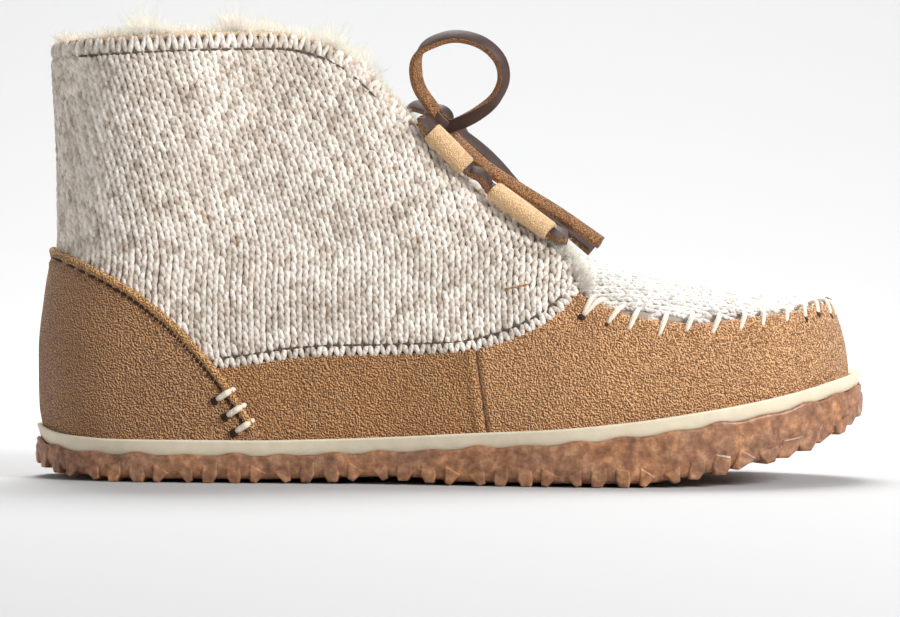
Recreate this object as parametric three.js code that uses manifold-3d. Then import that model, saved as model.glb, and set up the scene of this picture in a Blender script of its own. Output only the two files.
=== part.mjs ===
// A women's knitted moccasin ankle boot, right foot, standing empty on its sole. Suede counter, side
// panels and vamp sit on a knitted boot with a fleece lining, over a cream midsole and a gum cup sole.
// Millimetres. +X is the toe, -Y the outer side, +Z up, and the floor is z = 0.
import * as THREE from "three";
import { mergeVertices } from "three/addons/utils/BufferGeometryUtils.js";
import Module from "manifold-3d";

const wasm = await Module();
wasm.setup();

// Overall sizes of the sole and the last
const SOLE_LENGTH = 268;
const BALL_WIDTH = 96;
const FEATHER_HEIGHT = 13.6; // floor to the top of the midsole, at the heel
const TOE_SPRING = 22; // how much higher that line is at the tip of the toe
const COLLAR_HEIGHT = 142.3;
const COLLAR_LENGTH = 88.8;
const COLLAR_WIDTH = 71;
const COLLAR_SPARE = 21; // the last runs on this far above the collar, before it is trimmed
const BACK_HOLLOW = 3.1; // how far the back seam curves in above the counter
const TOE_SWING = 4.5; // how far the toe turns towards the inner side

// Thicknesses
const GAP = 0.3; // between pieces that touch
const BOOT_WALL = 1.8; // lining and backing, under the suede
const KNIT_STEP = 1.8; // how far the knitted quarter stands above that
const SUEDE = 1;
const COUNTER_ROLL = 0.5; // extra height of the counter's turned edge
const ROLL_WIDTH = 2.6;
const VAMP_RIM = 0.7; // extra height of the vamp's edge, where it is drawn up to the plug
const VAMP_RIM_WIDTH = 3.2;
const PLUG = 2.4;
const FLEECE = 4.2;
const INSOLE = 5;

// Sole
const UPPER_INSET = 5.6; // outsole's edge to the last, at the feather line
const MIDSOLE_LIP = 2.4; // how far the midsole's rim stands up round the upper
const MIDSOLE = 5.2;
const GUM_RIM = 1.1; // the gum wall that climbs the side of the midsole
const LUG_HEIGHT = 2.6;
const LUG_WIDTH = 4.6;
const LUG_DEPTH = 8;
const LUG_PROUD = 0.5;
const BOTTOM_INSET = 1.8; // the gum draws in this far below its side
const LUG_PEAK = 7; // the tallest lugs climb the side of the gum this far
const LUG_GROUPS = 20; // each group is two split diamonds and two triangles
const SOLE_COLUMNS = 2 * LUG_GROUPS; // on each side of the sole, so that each lug has one
const WAVE_HEIGHT = 1.3;
const TREAD_LUG = { length: 12, width: 9 };

// Lace and its tabs
const LACE = { width: 4.4, thickness: 2.2 };
const TAB = { wall: 1.2, clearance: 0.4, lift: 0.6, inset: 1.2 }; // inset is from the quarter's edge
const KNOT = { radius: 5.2, strand: 1.9, ahead: 5.8 }; // ahead of the tops of the upper tabs

// How finely the last is divided: columns from heel to collar front, along the side and round the toe
const HEEL_COLUMNS = 8;
const SIDE_COLUMNS = 7;
const TOE_COLUMNS = 7;
const ROWS = 8;

const OUTER = -1;
const INNER = 1;
const HALF = SOLE_LENGTH / 2;

// Outline of the sole, from the back of the heel by the outer side to the toe and back.
// along is a share of SOLE_LENGTH, across a share of half the BALL_WIDTH.
const SOLE_PLAN = [
  { along: 0, across: 0 },
  { along: 0.014, across: -0.25 },
  { along: 0.05, across: -0.48 },
  { along: 0.12, across: -0.66 },
  { along: 0.24, across: -0.72 },
  { along: 0.38, across: -0.75 },
  { along: 0.52, across: -0.87 },
  { along: 0.65, across: -1 },
  { along: 0.77, across: -0.97 },
  { along: 0.87, across: -0.79 },
  { along: 0.95, across: -0.49 },
  { along: 0.99, across: -0.16 },
  { along: 1, across: 0.12 },
  { along: 0.988, across: 0.42 },
  { along: 0.945, across: 0.71 },
  { along: 0.87, across: 0.91 },
  { along: 0.76, across: 1 },
  { along: 0.65, across: 0.97 },
  { along: 0.52, across: 0.8 },
  { along: 0.4, across: 0.68 },
  { along: 0.28, across: 0.65 },
  { along: 0.14, across: 0.65 },
  { along: 0.055, across: 0.49 },
  { along: 0.014, across: 0.25 },
];
const TOE_ROW = SOLE_PLAN.findIndex((row) => row.along === 1);

// Side line of the sole. at is a share of SOLE_LENGTH; feather and ground are shares of TOE_SPRING.
const SOLE_SIDE = [
  { at: 0, feather: 0.165, ground: 0.2 },
  { at: 0.025, feather: 0.07, ground: 0.1 },
  { at: 0.05, feather: 0.03, ground: 0.045 },
  { at: 0.1, feather: 0, ground: 0 },
  { at: 0.26, feather: 0, ground: 0 },
  { at: 0.36, feather: 0.03, ground: 0.03 },
  { at: 0.44, feather: 0.075, ground: 0.06 },
  { at: 0.52, feather: 0.135, ground: 0 },
  { at: 0.62, feather: 0.205, ground: 0 },
  { at: 0.72, feather: 0.33, ground: 0 },
  { at: 0.79, feather: 0.455, ground: 0.12 },
  { at: 0.85, feather: 0.575, ground: 0.26 },
  { at: 0.91, feather: 0.725, ground: 0.45 },
  { at: 0.96, feather: 0.88, ground: 0.68 },
  { at: 1, feather: 1, ground: 1 },
];

// The ridge of the last over the instep and toe, by the share of the way round from heel to toe.
// along is a share of SOLE_LENGTH, height a share of COLLAR_HEIGHT.
const COLLAR_SHARE = 0.3;
const RIDGE = [
  { at: 0.3, along: 0.352, height: 1.1476 },
  { at: 0.35, along: 0.398, height: 1.04 },
  { at: 0.4, along: 0.446, height: 0.915 },
  { at: 0.45, along: 0.498, height: 0.785 },
  { at: 0.5, along: 0.554, height: 0.668 },
  { at: 0.56, along: 0.617, height: 0.583 },
  { at: 0.62, along: 0.672, height: 0.5195 },
  { at: 0.7, along: 0.737, height: 0.474 },
  { at: 0.8, along: 0.81, height: 0.444 },
  { at: 0.9, along: 0.885, height: 0.427 },
  { at: 1, along: 0.951, height: 0.424 },
];

// How square each profile is, from 1, straight, to 4, nearly a box, and how much of the back curve it has
const PROFILE = [
  { at: 0, square: 1, back: 1 },
  { at: 0.08, square: 1, back: 0.85 },
  { at: 0.16, square: 1.05, back: 0.4 },
  { at: 0.22, square: 1.35, back: 0.1 },
  { at: 0.27, square: 1.8, back: 0 },
  { at: 0.32, square: 2.1, back: 0 },
  { at: 0.5, square: 2.3, back: 0 },
  { at: 0.6, square: 2.75, back: 0 },
  { at: 0.7, square: 3.3, back: 0 },
  { at: 0.8, square: 3.6, back: 0 },
  { at: 0.9, square: 3.2, back: 0 },
  { at: 0.96, square: 2.1, back: 0 },
  { at: 1, square: 1.25, back: 0 },
];

// The curve of the back seam: outward, as a share of BACK_HOLLOW, by the share of the height
const BACK_CURVE = [
  { at: 0, outward: 0.1 },
  { at: 0.06, outward: 0.55 },
  { at: 0.17, outward: 0.65 },
  { at: 0.3, outward: 0 },
  { at: 0.42, outward: -0.9 },
  { at: 0.56, outward: -0.85 },
  { at: 0.75, outward: -0.4 },
  { at: 0.9, outward: 0 },
  { at: 1, outward: 0.2 },
];

// Lines seen from the side, as shares of SOLE_LENGTH and COLLAR_HEIGHT, each from back to front.
// The top edge runs from the back along the collar and down the front edge of the quarter.
const TOP_EDGE = [
  { along: -0.03, height: 0.974 },
  { along: 0.015, height: 0.977 },
  { along: 0.085, height: 0.984 },
  { along: 0.168, height: 0.993 },
  { along: 0.256, height: 1 },
  { along: 0.305, height: 0.998 },
  { along: 0.345, height: 0.98 },
  { along: 0.375, height: 0.952 },
  { along: 0.404, height: 0.908 },
  { along: 0.439, height: 0.838 },
  { along: 0.475, height: 0.766 },
  { along: 0.516, height: 0.685 },
  { along: 0.56, height: 0.616 },
  { along: 0.608, height: 0.552 },
  { along: 0.639, height: 0.5 },
  { along: 0.657, height: 0.44 },
];
const HEM = [
  { along: 0.12, height: 0.24 },
  { along: 0.235, height: 0.256 },
  { along: 0.327, height: 0.281 },
  { along: 0.432, height: 0.288 },
  { along: 0.523, height: 0.298 },
  { along: 0.582, height: 0.33 },
  { along: 0.628, height: 0.38 },
  { along: 0.657, height: 0.44 },
  { along: 0.672, height: 0.475 },
];
const COUNTER_EDGE = [
  { along: -0.03, height: 0.545 },
  { along: 0.026, height: 0.52 },
  { along: 0.073, height: 0.484 },
  { along: 0.125, height: 0.43 },
  { along: 0.165, height: 0.368 },
  { along: 0.2, height: 0.302 },
  { along: 0.231, height: 0.234 },
  { along: 0.258, height: 0.16 },
  { along: 0.279, height: 0.09 },
  { along: 0.288, height: 0.04 },
];
const VAMP_SEAM = [
  { along: 0.53, height: 0.4 },
  { along: 0.533, height: 0.28 },
  { along: 0.545, height: 0.12 },
  { along: 0.549, height: 0.04 },
];
const FLEECE_FOOT = [
  { along: -0.03, height: 0.82 },
  { along: 0.25, height: 0.845 },
  { along: 0.32, height: 0.83 },
  { along: 0.38, height: 0.8 },
  { along: 0.46, height: 0.8 },
];

// Where each tab lies along the quarter's front edge, as shares of SOLE_LENGTH
const TABS = {
  upper: { from: 0.4664, to: 0.508 },
  lower: { from: 0.5418, to: 0.6127 },
};

// The opening that the plug fills, seen from above: outer and inner are shares of half the BALL_WIDTH
const PLUG_PLAN = [
  { along: 0.652, outer: 0.71, inner: 0.7 },
  { along: 0.72, outer: 0.785, inner: 0.76 },
  { along: 0.8, outer: 0.735, inner: 0.75 },
  { along: 0.872, outer: 0.55, inner: 0.65 },
  { along: 0.922, outer: 0.31, inner: 0.46 },
];
const PLUG_TIP = { along: 0.954, across: 0.08 };

// How far the plug and tongue lie from the last's surface, from the throat's top to the toe.
// depth is a share of TONGUE_DEPTH and width a share of half the BALL_WIDTH.
const TONGUE_DEPTH = 9;
const PLUG_SUNK = 0.3; // the plug lies this far under the suede round it
const TONGUE = [
  { at: 0.28, depth: 1, width: 0.24 },
  { at: 0.36, depth: 1, width: 0.3 },
  { at: 0.42, depth: 1, width: 0.4 },
  { at: 0.5, depth: 0.84, width: 0.44 },
  { at: 0.58, depth: 0.58, width: 0.48 },
  { at: 0.655, depth: 0.36, width: 0.58 },
  { at: 0.69, depth: 0.14, width: 0.58 },
  { at: 0.73, depth: 0, width: 0.58 },
  { at: 1, depth: 0, width: 0.58 },
];
const TONGUE_TOP = { along: 0.358, height: 1.03 };

const { abs, asin, cos, hypot, max, min, PI, sign, sin, sqrt } = Math;
const mix = (a, b, t) => a + (b - a) * t;
const alongX = (share) => share * SOLE_LENGTH - HALF;
const acrossY = (share) => (share * BALL_WIDTH) / 2;
const heightZ = (share) => share * COLLAR_HEIGHT;

// A smooth line through one column of a table. It never runs past the rows on either side.
function column(rows, name) {
  const at = rows.map((row) => row.at);
  const value = rows.map((row) => row[name]);
  const steps = at.slice(1).map((end, i) => (value[i + 1] - value[i]) / (end - at[i]));
  const slopes = at.map((_, i) => {
    const before = steps[max(0, i - 1)];
    const after = steps[min(i, steps.length - 1)];
    return before * after > 0 ? (2 * before * after) / (before + after) : 0;
  });
  return (share) => {
    const x = min(max(share, at[0]), at[at.length - 1]);
    const i = max(0, at.findLastIndex((start, k) => start <= x && k < at.length - 1));
    const width = at[i + 1] - at[i];
    const t = (x - at[i]) / width;
    const start = (1 + 2 * t) * (1 - t) ** 2 * value[i] + t * (1 - t) ** 2 * width * slopes[i];
    const end = t * t * (3 - 2 * t) * value[i + 1] + t * t * (t - 1) * width * slopes[i + 1];
    return start + end;
  };
}

const featherShare = column(SOLE_SIDE, "feather");
const groundShare = column(SOLE_SIDE, "ground");
const ridgeAlong = column(RIDGE, "along");
const ridgeHeight = column(RIDGE, "height");
const squareness = column(PROFILE, "square");
const backWeight = column(PROFILE, "back");
const backCurve = column(BACK_CURVE, "outward");
const tongueDepth = column(TONGUE, "depth");
const tongueWidth = column(TONGUE, "width");

const lengthShare = (x) => (x + HALF) / SOLE_LENGTH;
const featherZ = (x) => FEATHER_HEIGHT + TOE_SPRING * featherShare(lengthShare(x));
const groundZ = (x) => TOE_SPRING * groundShare(lengthShare(x));
const ridgeY = (x) => TOE_SWING * max(0, lengthShare(x) * 2 - 1) ** 1.5;

// The sole's outline as two lines of points, each from the heel to the toe, fitted to length and width
function outlineSides() {
  const rows = SOLE_PLAN.map((p) => new THREE.Vector3(alongX(p.along), acrossY(p.across), 0));
  const curve = new THREE.CatmullRomCurve3(rows, true, "centripetal");
  const points = 240;
  const split = TOE_ROW / rows.length;
  const walk = (share) => Array.from({ length: points + 1 }, (_, i) => curve.getPoint(share(i / points)));
  const outer = walk((t) => t * split);
  const inner = walk((t) => (1 - t * (1 - split)) % 1);
  const box = new THREE.Box3().setFromPoints([...outer, ...inner]);
  const size = box.getSize(new THREE.Vector3());
  const centre = box.getCenter(new THREE.Vector3());
  const fit = (p) => ({
    x: ((p.x - centre.x) * SOLE_LENGTH) / size.x,
    y: ((p.y - centre.y) * BALL_WIDTH) / size.y,
  });
  return { [OUTER]: measured(outer.map(fit)), [INNER]: measured(inner.map(fit)) };
}

// A line of points with the distance that has been covered at each
function measured(line) {
  const far = [0];
  for (let i = 1; i < line.length; i++) {
    far.push(far[i - 1] + hypot(line[i].x - line[i - 1].x, line[i].y - line[i - 1].y));
  }
  return { line, far, length: far[far.length - 1] };
}

const SIDES = outlineSides();

function onLine({ line, far, length }, share) {
  const target = min(max(share, 0), 1) * length;
  const i = min(max(far.findLastIndex((d) => d <= target), 0), line.length - 2);
  const t = (target - far[i]) / (far[i + 1] - far[i]);
  return { x: mix(line[i].x, line[i + 1].x, t), y: mix(line[i].y, line[i + 1].y, t) };
}

// A share past either end goes on round the other side
function outlinePoint(side, share) {
  if (share < 0) return onLine(SIDES[-side], -share);
  if (share > 1) return onLine(SIDES[-side], 2 - share);
  return onLine(SIDES[side], share);
}

// The outline's point and outward normal, moved in by inset
function outline(side, share, inset = 0) {
  const reach = 0.012;
  const before = outlinePoint(side, share - reach);
  const after = outlinePoint(side, share + reach);
  const length = hypot(after.x - before.x, after.y - before.y);
  const nx = (-side * (after.y - before.y)) / length;
  const ny = (side * (after.x - before.x)) / length;
  const p = outlinePoint(side, share);
  return { x: p.x - nx * inset, y: p.y - ny * inset, nx, ny };
}

// The collar loop narrows to a point at the throat; widest is what that leaves at its widest place
const COLLAR_POINT = { power: 0.6, widest: 0.841 };

// Where a profile ends: on the collar loop, or on the ridge
function profileTop(side, share) {
  if (share > COLLAR_SHARE) {
    const x = alongX(ridgeAlong(share));
    return { x, y: ridgeY(x), z: heightZ(ridgeHeight(share)) };
  }
  const turn = (PI * share) / COLLAR_SHARE;
  const front = alongX(ridgeAlong(COLLAR_SHARE));
  const narrowing = max(0, cos(turn / 2)) ** COLLAR_POINT.power / COLLAR_POINT.widest;
  return {
    x: front - (COLLAR_LENGTH * (1 + cos(turn))) / 2,
    y: side * sin(turn) * narrowing * (COLLAR_WIDTH / 2),
    z: COLLAR_HEIGHT + COLLAR_SPARE,
  };
}

// The surface of the last: share goes from the heel to the toe on one side, rise from the sole to the top
function surface(side, share, rise) {
  if (share < 0) return surface(-side, -share, rise);
  if (share > 1) return surface(-side, 2 - share, rise);
  if (rise > 1) return surface(-side, share, 2 - rise);
  const foot = outline(side, share, UPPER_INSET);
  const footZ = featherZ(foot.x);
  const top = profileTop(side, share);
  const square = squareness(share);
  const turn = mix(asin(sqrt(rise)), (rise * PI) / 2, min(1, square - 1));
  const inward = 1 - max(0, cos(turn)) ** (2 / square);
  const upward = sin(turn) ** (2 / square);
  const out = BACK_HOLLOW * backCurve(upward) * backWeight(share);
  return new THREE.Vector3(
    mix(foot.x, top.x, inward) + foot.nx * out,
    mix(foot.y, top.y, inward) + foot.ny * out,
    mix(footZ, top.z, upward),
  );
}

function normal(side, share, rise) {
  const small = 0.004;
  if (share >= COLLAR_SHARE && rise === 1) {
    const before = profileTop(side, share - small);
    const after = profileTop(side, min(1, share + small));
    return new THREE.Vector3(before.z - after.z, 0, after.x - before.x).normalize();
  }
  const along = surface(side, share + small, rise).sub(surface(side, share - small, rise));
  const upward = surface(side, share, min(1, rise + small)).sub(surface(side, share, max(0, rise - small)));
  return new THREE.Vector3().crossVectors(along, upward).multiplyScalar(-side).normalize();
}

// A closed solid from a list of points and faces; faces that fall together are left out
function solidOf(points, faces) {
  const position = new THREE.BufferAttribute(new Float32Array(points.flatMap((p) => [p.x, p.y, p.z])), 3);
  const geometry = new THREE.BufferGeometry().setAttribute("position", position).setIndex(faces.flat());
  return solidFrom(geometry);
}

function solidFrom(geometry) {
  const bare = new THREE.BufferGeometry().setAttribute("position", geometry.getAttribute("position"));
  if (geometry.index) bare.setIndex(geometry.index);
  const merged = mergeVertices(bare, 1e-4);
  const index = merged.index.array;
  const kept = [];
  for (let i = 0; i < index.length; i += 3) {
    const [a, b, c] = [index[i], index[i + 1], index[i + 2]];
    if (a !== b && b !== c && c !== a) kept.push(a, b, c);
  }
  const vertProperties = new Float32Array(merged.attributes.position.array);
  const mesh = new wasm.Mesh({ numProp: 3, vertProperties, triVerts: new Uint32Array(kept) });
  return new wasm.Manifold(mesh);
}

// Rings of points, each as long as the others, skinned into a closed solid. Rings are wound with the
// outer side first, so the two ends are closed by strips from side to side.
function skin(rings) {
  const count = rings[0].length;
  const faces = [];
  const at = (ring, i) => ring * count + (i % count);
  const quad = (a, b, c, d) => faces.push([a, b, c], [a, c, d]);
  const last = rings.length - 1;
  for (let r = 0; r < last; r++) {
    for (let i = 0; i < count; i++) quad(at(r, i), at(r, i + 1), at(r + 1, i + 1), at(r + 1, i));
  }
  for (let i = 0; i < count / 2; i++) {
    const j = count - i;
    quad(at(0, i), at(0, j), at(0, j - 1), at(0, i + 1));
    quad(at(last, i), at(last, i + 1), at(last, j - 1), at(last, j));
  }
  return solidOf(rings.flat(), faces);
}

function spread(from, to, count) {
  return Array.from({ length: count }, (_, i) => mix(from, to, i / count));
}

const SIDE_END = 0.72;
const SHARES = [
  ...spread(0, COLLAR_SHARE, HEEL_COLUMNS),
  ...spread(COLLAR_SHARE, SIDE_END, SIDE_COLUMNS),
  ...spread(SIDE_END, 1, TOE_COLUMNS),
  1,
];

// The places round the last: the outer side from heel to toe, then the inner side back to the heel
const AROUND = [
  ...SHARES.map((share) => ({ side: OUTER, share })),
  ...SHARES.slice(1, -1).reverse().map((share) => ({ side: INNER, share })),
];

// The last grown outwards by a thickness, or inwards by a negative one, as a closed form.
// It reaches below the feather line, so that what it cuts is open underneath.
const SKIRT = 14;
function form(thickness) {
  const grown = (place, rise) => {
    const p = surface(place.side, place.share, rise);
    const by = typeof thickness === "function" ? thickness(p) : thickness;
    return p.addScaledVector(normal(place.side, place.share, rise), by);
  };
  const rings = [AROUND.map((place) => {
    const p = grown(place, 0);
    return p.setZ(p.z - SKIRT);
  })];
  for (let row = 0; row <= ROWS; row++) rings.push(AROUND.map((place) => grown(place, row / ROWS)));
  return skin(rings);
}

const shell = (outside, inside) => form(outside).subtract(form(inside));

// A side view line as points in the plane of X and Z, smooth through its rows
function sideLine(rows, pointsPerRow = 2) {
  const curve = new THREE.SplineCurve(rows.map((p) => new THREE.Vector2(alongX(p.along), heightZ(p.height))));
  return curve.getPoints((rows.length - 1) * pointsPerRow);
}

// A line moved sideways by a distance, to the left of its direction
function beside(line, distance) {
  return line.map((p, i) => {
    const a = line[max(0, i - 1)];
    const b = line[min(line.length - 1, i + 1)];
    const length = hypot(b.x - a.x, b.y - a.y);
    return corner(p.x - ((b.y - a.y) * distance) / length, p.y + ((b.x - a.x) * distance) / length);
  });
}

function extruded(points, depth) {
  return new THREE.ExtrudeGeometry(new THREE.Shape(points), { depth, bevelEnabled: false, steps: 1 });
}

// A region of the side view, through the whole width of the boot
function sideRegion(points) {
  const geometry = extruded(points, 2 * BALL_WIDTH);
  return solidFrom(geometry.rotateX(PI / 2).translate(0, BALL_WIDTH, 0));
}

// A region of the plan, through the whole height of the boot
function planRegion(points) {
  return solidFrom(extruded(points, 3 * COLLAR_HEIGHT).translate(0, 0, -COLLAR_HEIGHT));
}

const FAR_BACK = -HALF - 30;
const FAR_FRONT = HALF + 30;
const FAR_UP = 2 * COLLAR_HEIGHT;
const FAR_DOWN = -COLLAR_HEIGHT;
const corner = (x, z) => new THREE.Vector2(x, z);

const topEdge = sideLine(TOP_EDGE);
const hem = sideLine(HEM);
const counterEdge = sideLine(COUNTER_EDGE);
const vampSeam = sideLine(VAMP_SEAM, 1);
const quarterCorner = topEdge[topEdge.length - 1];
const bedLine = Array.from({ length: 17 }, (_, i) => {
  const x = mix(-HALF - 5, HALF + 5, i / 16);
  return corner(x, featherZ(x) - MIDSOLE_LIP);
});

// Everything under a line that runs from back to front
function under(line) {
  const first = line[0];
  const last = line[line.length - 1];
  return sideRegion([...line, corner(last.x, FAR_DOWN), corner(first.x, FAR_DOWN)]);
}

// Everything behind a line that runs from top to bottom
function behind(line) {
  const first = line[0];
  const last = line[line.length - 1];
  return sideRegion([...line, corner(last.x, FAR_DOWN), corner(FAR_BACK, FAR_DOWN),
    corner(FAR_BACK, FAR_UP), corner(first.x, FAR_UP)]);
}

const belowBed = under(beside(bedLine, GAP));

// What the collar and the quarter's front edge leave, with everything in front of the quarter's corner
function belowTopEdge(drop) {
  return under(beside(topEdge, -drop)).add(infrontOf(quarterCorner.x));
}

function infrontOf(x) {
  return sideRegion([corner(x, FAR_UP), corner(FAR_FRONT, FAR_UP), corner(FAR_FRONT, FAR_DOWN), corner(x, FAR_DOWN)]);
}

// The part of the side view that is suede without the counter, grown towards the knit by a distance
function suedePart(by) {
  return under(beside(hem, by)).add(infrontOf(quarterCorner.x - by)).subtract(behind(beside(counterEdge, -by)));
}

// The plug's outline from above, moved in by inset
function plugPlan(inset, back) {
  const sideOf = (name, side) => PLUG_PLAN.map((p) => corner(alongX(p.along), side * acrossY(p[name])));
  const tip = corner(alongX(PLUG_TIP.along), acrossY(PLUG_TIP.across));
  const rows = [...sideOf("outer", OUTER), tip, ...sideOf("inner", INNER).reverse()];
  const line = beside(new THREE.SplineCurve(rows).getPoints(2 * rows.length), inset);
  return [corner(back, line[0].y), ...line, corner(back, line[line.length - 1].y)];
}

const PLUG_BACK = quarterCorner.x - 1;
const PLUG_LAP = 9; // how far the plug runs back under the quarters at its full width

function knittedBoot() {
  const raised = form(KNIT_STEP).subtract(suedePart(0));
  return form(0).add(raised)
    .intersect(belowTopEdge(0))
    .subtract(form(-BOOT_WALL))
    .subtract(planRegion(plugPlan(0, PLUG_BACK)))
    .subtract(belowBed);
}
const bootWall = knittedBoot();

// The counter's outside: its sheet, and the roll along its edge
function counterForm(extra) {
  const sheet = form(KNIT_STEP + GAP + SUEDE + extra).intersect(behind(beside(counterEdge, extra)));
  const roll = form(KNIT_STEP + GAP + SUEDE + COUNTER_ROLL + extra)
    .intersect(behind(beside(counterEdge, extra)))
    .subtract(behind(beside(counterEdge, -ROLL_WIDTH - extra)));
  return sheet.add(roll);
}

const heelCounter = () => counterForm(0).subtract(form(KNIT_STEP + GAP)).subtract(belowBed);

const suedeShell = shell(GAP + SUEDE, GAP);

// The side panels lie between the counter and the vamp, under the knitted hem, one on each side
function sidePanel(side) {
  const half = planRegion([corner(FAR_BACK, 0), corner(FAR_FRONT, 0),
    corner(FAR_FRONT, side * 2 * BALL_WIDTH), corner(FAR_BACK, side * 2 * BALL_WIDTH)]);
  return suedeShell.intersect(suedePart(-GAP)).intersect(behind(beside(vampSeam, -GAP / 2)))
    .intersect(half).subtract(belowBed);
}

function vamp() {
  const rim = form(GAP + SUEDE + VAMP_RIM).intersect(planRegion(plugPlan(-VAMP_RIM_WIDTH, quarterCorner.x)));
  return form(GAP + SUEDE).add(rim)
    .intersect(suedePart(-GAP))
    .subtract(behind(beside(vampSeam, GAP / 2)))
    .subtract(form(GAP))
    .subtract(planRegion(plugPlan(0, PLUG_BACK)))
    .subtract(belowBed);
}

// The plug fills the vamp's opening and runs on under the quarters as the tongue
const tongueOutside = (p) => -mix(PLUG_SUNK, TONGUE_DEPTH, tongueDepth(lengthShare(p.x)));

function tonguePlan() {
  const rows = TONGUE.filter((row) => alongX(row.at) < quarterCorner.x);
  const edge = (side) => rows.map((row) => {
    const x = alongX(row.at);
    return corner(x, ridgeY(x) + side * acrossY(row.width));
  });
  const end = rows[rows.length - 1];
  const reach = (side) => corner(quarterCorner.x + 6, side * acrossY(end.width));
  return [...edge(OUTER), reach(OUTER), reach(INNER), ...edge(INNER).reverse()];
}

// The band of the side view that the tongue and plug lie in
function belowTongueTop() {
  const x = alongX(TONGUE_TOP.along);
  const z = heightZ(TONGUE_TOP.height);
  const foot = heightZ(0.3);
  return sideRegion([corner(x, z), corner(x + 14, z - 5),
    corner(FAR_FRONT, z - 5), corner(FAR_FRONT, foot), corner(x, foot)]);
}

function plugAndTongue() {
  const plan = planRegion(plugPlan(GAP, quarterCorner.x - PLUG_LAP)).add(planRegion(tonguePlan()));
  return form(tongueOutside)
    .subtract(form((p) => tongueOutside(p) - PLUG))
    .intersect(plan)
    .intersect(belowTongueTop());
}

// Repeatable uneven lengths for locks of fleece
const uneven = (i) => 0.5 + 0.5 * sin(i * 2.4) * cos(i * 1.7 + 0.6);

// A lock of fleece: a bent spike on the rim, fused to it
function lock(foot, tip, radius) {
  const axis = tip.clone().sub(foot);
  const cone = new THREE.ConeGeometry(radius, axis.length(), 4, 1);
  const turn = new THREE.Quaternion().setFromUnitVectors(new THREE.Vector3(0, 1, 0), axis.clone().normalize());
  cone.translate(0, axis.length() / 2, 0).applyQuaternion(turn);
  return solidFrom(cone.translate(foot.x, foot.y, foot.z));
}

const FLEECE_OUTSIDE = -(BOOT_WALL + GAP);
const LOCK = { count: 30, length: 10.5, radius: 1.9, sunk: 0.03 }; // sunk: as a share of the profile

// The height of a side line at a place along the boot
function lineHeight(line, x) {
  const k = max(1, line.findIndex((p) => p.x > x));
  return mix(line[k - 1].y, line[k].y, (x - line[k - 1].x) / (line[k].x - line[k - 1].x));
}

// Where a profile on one side of the last reaches the top edge, seen from the side
function riseAtTopEdge(side, share) {
  let [low, high] = [0.3, 1];
  for (let i = 0; i < 24; i++) {
    const middle = (low + high) / 2;
    const p = surface(side, share, middle);
    if (p.z < lineHeight(topEdge, p.x)) low = middle;
    else high = middle;
  }
  return low;
}

function fleeceCollar() {
  const middle = FLEECE_OUTSIDE - FLEECE / 2;
  const foot = sideLine(FLEECE_FOOT);
  const band = under(beside(topEdge, -GAP)).subtract(under(foot)).subtract(infrontOf(foot[foot.length - 1].x));
  let fleece = shell(FLEECE_OUTSIDE, FLEECE_OUTSIDE - FLEECE).intersect(band);
  for (let i = 0; i < LOCK.count; i++) {
    const around = ((i + 0.5) / LOCK.count) * 2 - 1;
    const side = around < 0 ? OUTER : INNER;
    const share = abs(around) * (COLLAR_SHARE - 0.01);
    const rise = riseAtTopEdge(side, share);
    const on = (level) => surface(side, share, level).addScaledVector(normal(side, share, level), middle);
    const foot = on(rise - LOCK.sunk);
    const rim = on(rise);
    const tip = rim.clone().sub(foot).setLength(LOCK.length * (0.45 + 0.55 * uneven(i))).add(rim);
    fleece = fleece.add(lock(foot, tip, LOCK.radius));
  }
  return fleece.subtract(bootWall);
}

function insole() {
  const slab = under(beside(bedLine, INSOLE + GAP)).subtract(belowBed);
  return form(-BOOT_WALL - GAP).intersect(slab);
}

// Columns round the sole, finer than the last's because of the waves and lobes of its edge
const SOLE_AROUND = [
  ...Array.from({ length: SOLE_COLUMNS + 1 }, (_, i) => ({ side: OUTER, share: i / SOLE_COLUMNS })),
  ...Array.from({ length: SOLE_COLUMNS - 1 }, (_, i) => ({ side: INNER, share: 1 - (i + 1) / SOLE_COLUMNS })),
];

function soleRing(inset, height) {
  return SOLE_AROUND.map(({ side, share }, i) => {
    const p = outline(side, share, typeof inset === "function" ? inset(i) : inset);
    const edge = outline(side, share);
    return new THREE.Vector3(p.x, p.y, height(edge.x, i));
  });
}

const midsoleTop = (x) => featherZ(x);
const midsoleBottom = (x) => featherZ(x) - MIDSOLE;
const gumTop = (x) => midsoleBottom(x) - GAP;
const wave = (i) => WAVE_HEIGHT * (i % 2 ? 0.75 + 0.25 * uneven(i) : 0.25 * uneven(i));

function midsole() {
  const inset = GUM_RIM + GAP;
  const slab = skin([
    soleRing(inset, (x) => midsoleBottom(x)),
    soleRing(inset, (x) => midsoleTop(x) - 0.6),
    soleRing(inset + 0.35, (x) => midsoleTop(x)),
  ]);
  const seat = form(SUEDE + 2 * GAP).add(counterForm(GAP));
  return slab.subtract(seat.subtract(under(beside(bedLine, -GAP))));
}

// One lug on the edge of the sole: a flat shape that faces outwards, as deep as LUG_DEPTH
const LUG_SHAPES = [
  [[-0.5, 0], [0.5, 0], [0.5, 1], [-0.5, 0.7]],
  [[-0.5, 0], [0.5, 0], [0.5, 0.7], [-0.5, 1]],
  [[-0.5, 0], [0.2, 0], [0.5, 0.45], [-0.5, 0.85]],
  [[-0.2, 0], [0.5, 0], [0.5, 0.85], [-0.5, 0.45]],
];

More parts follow.
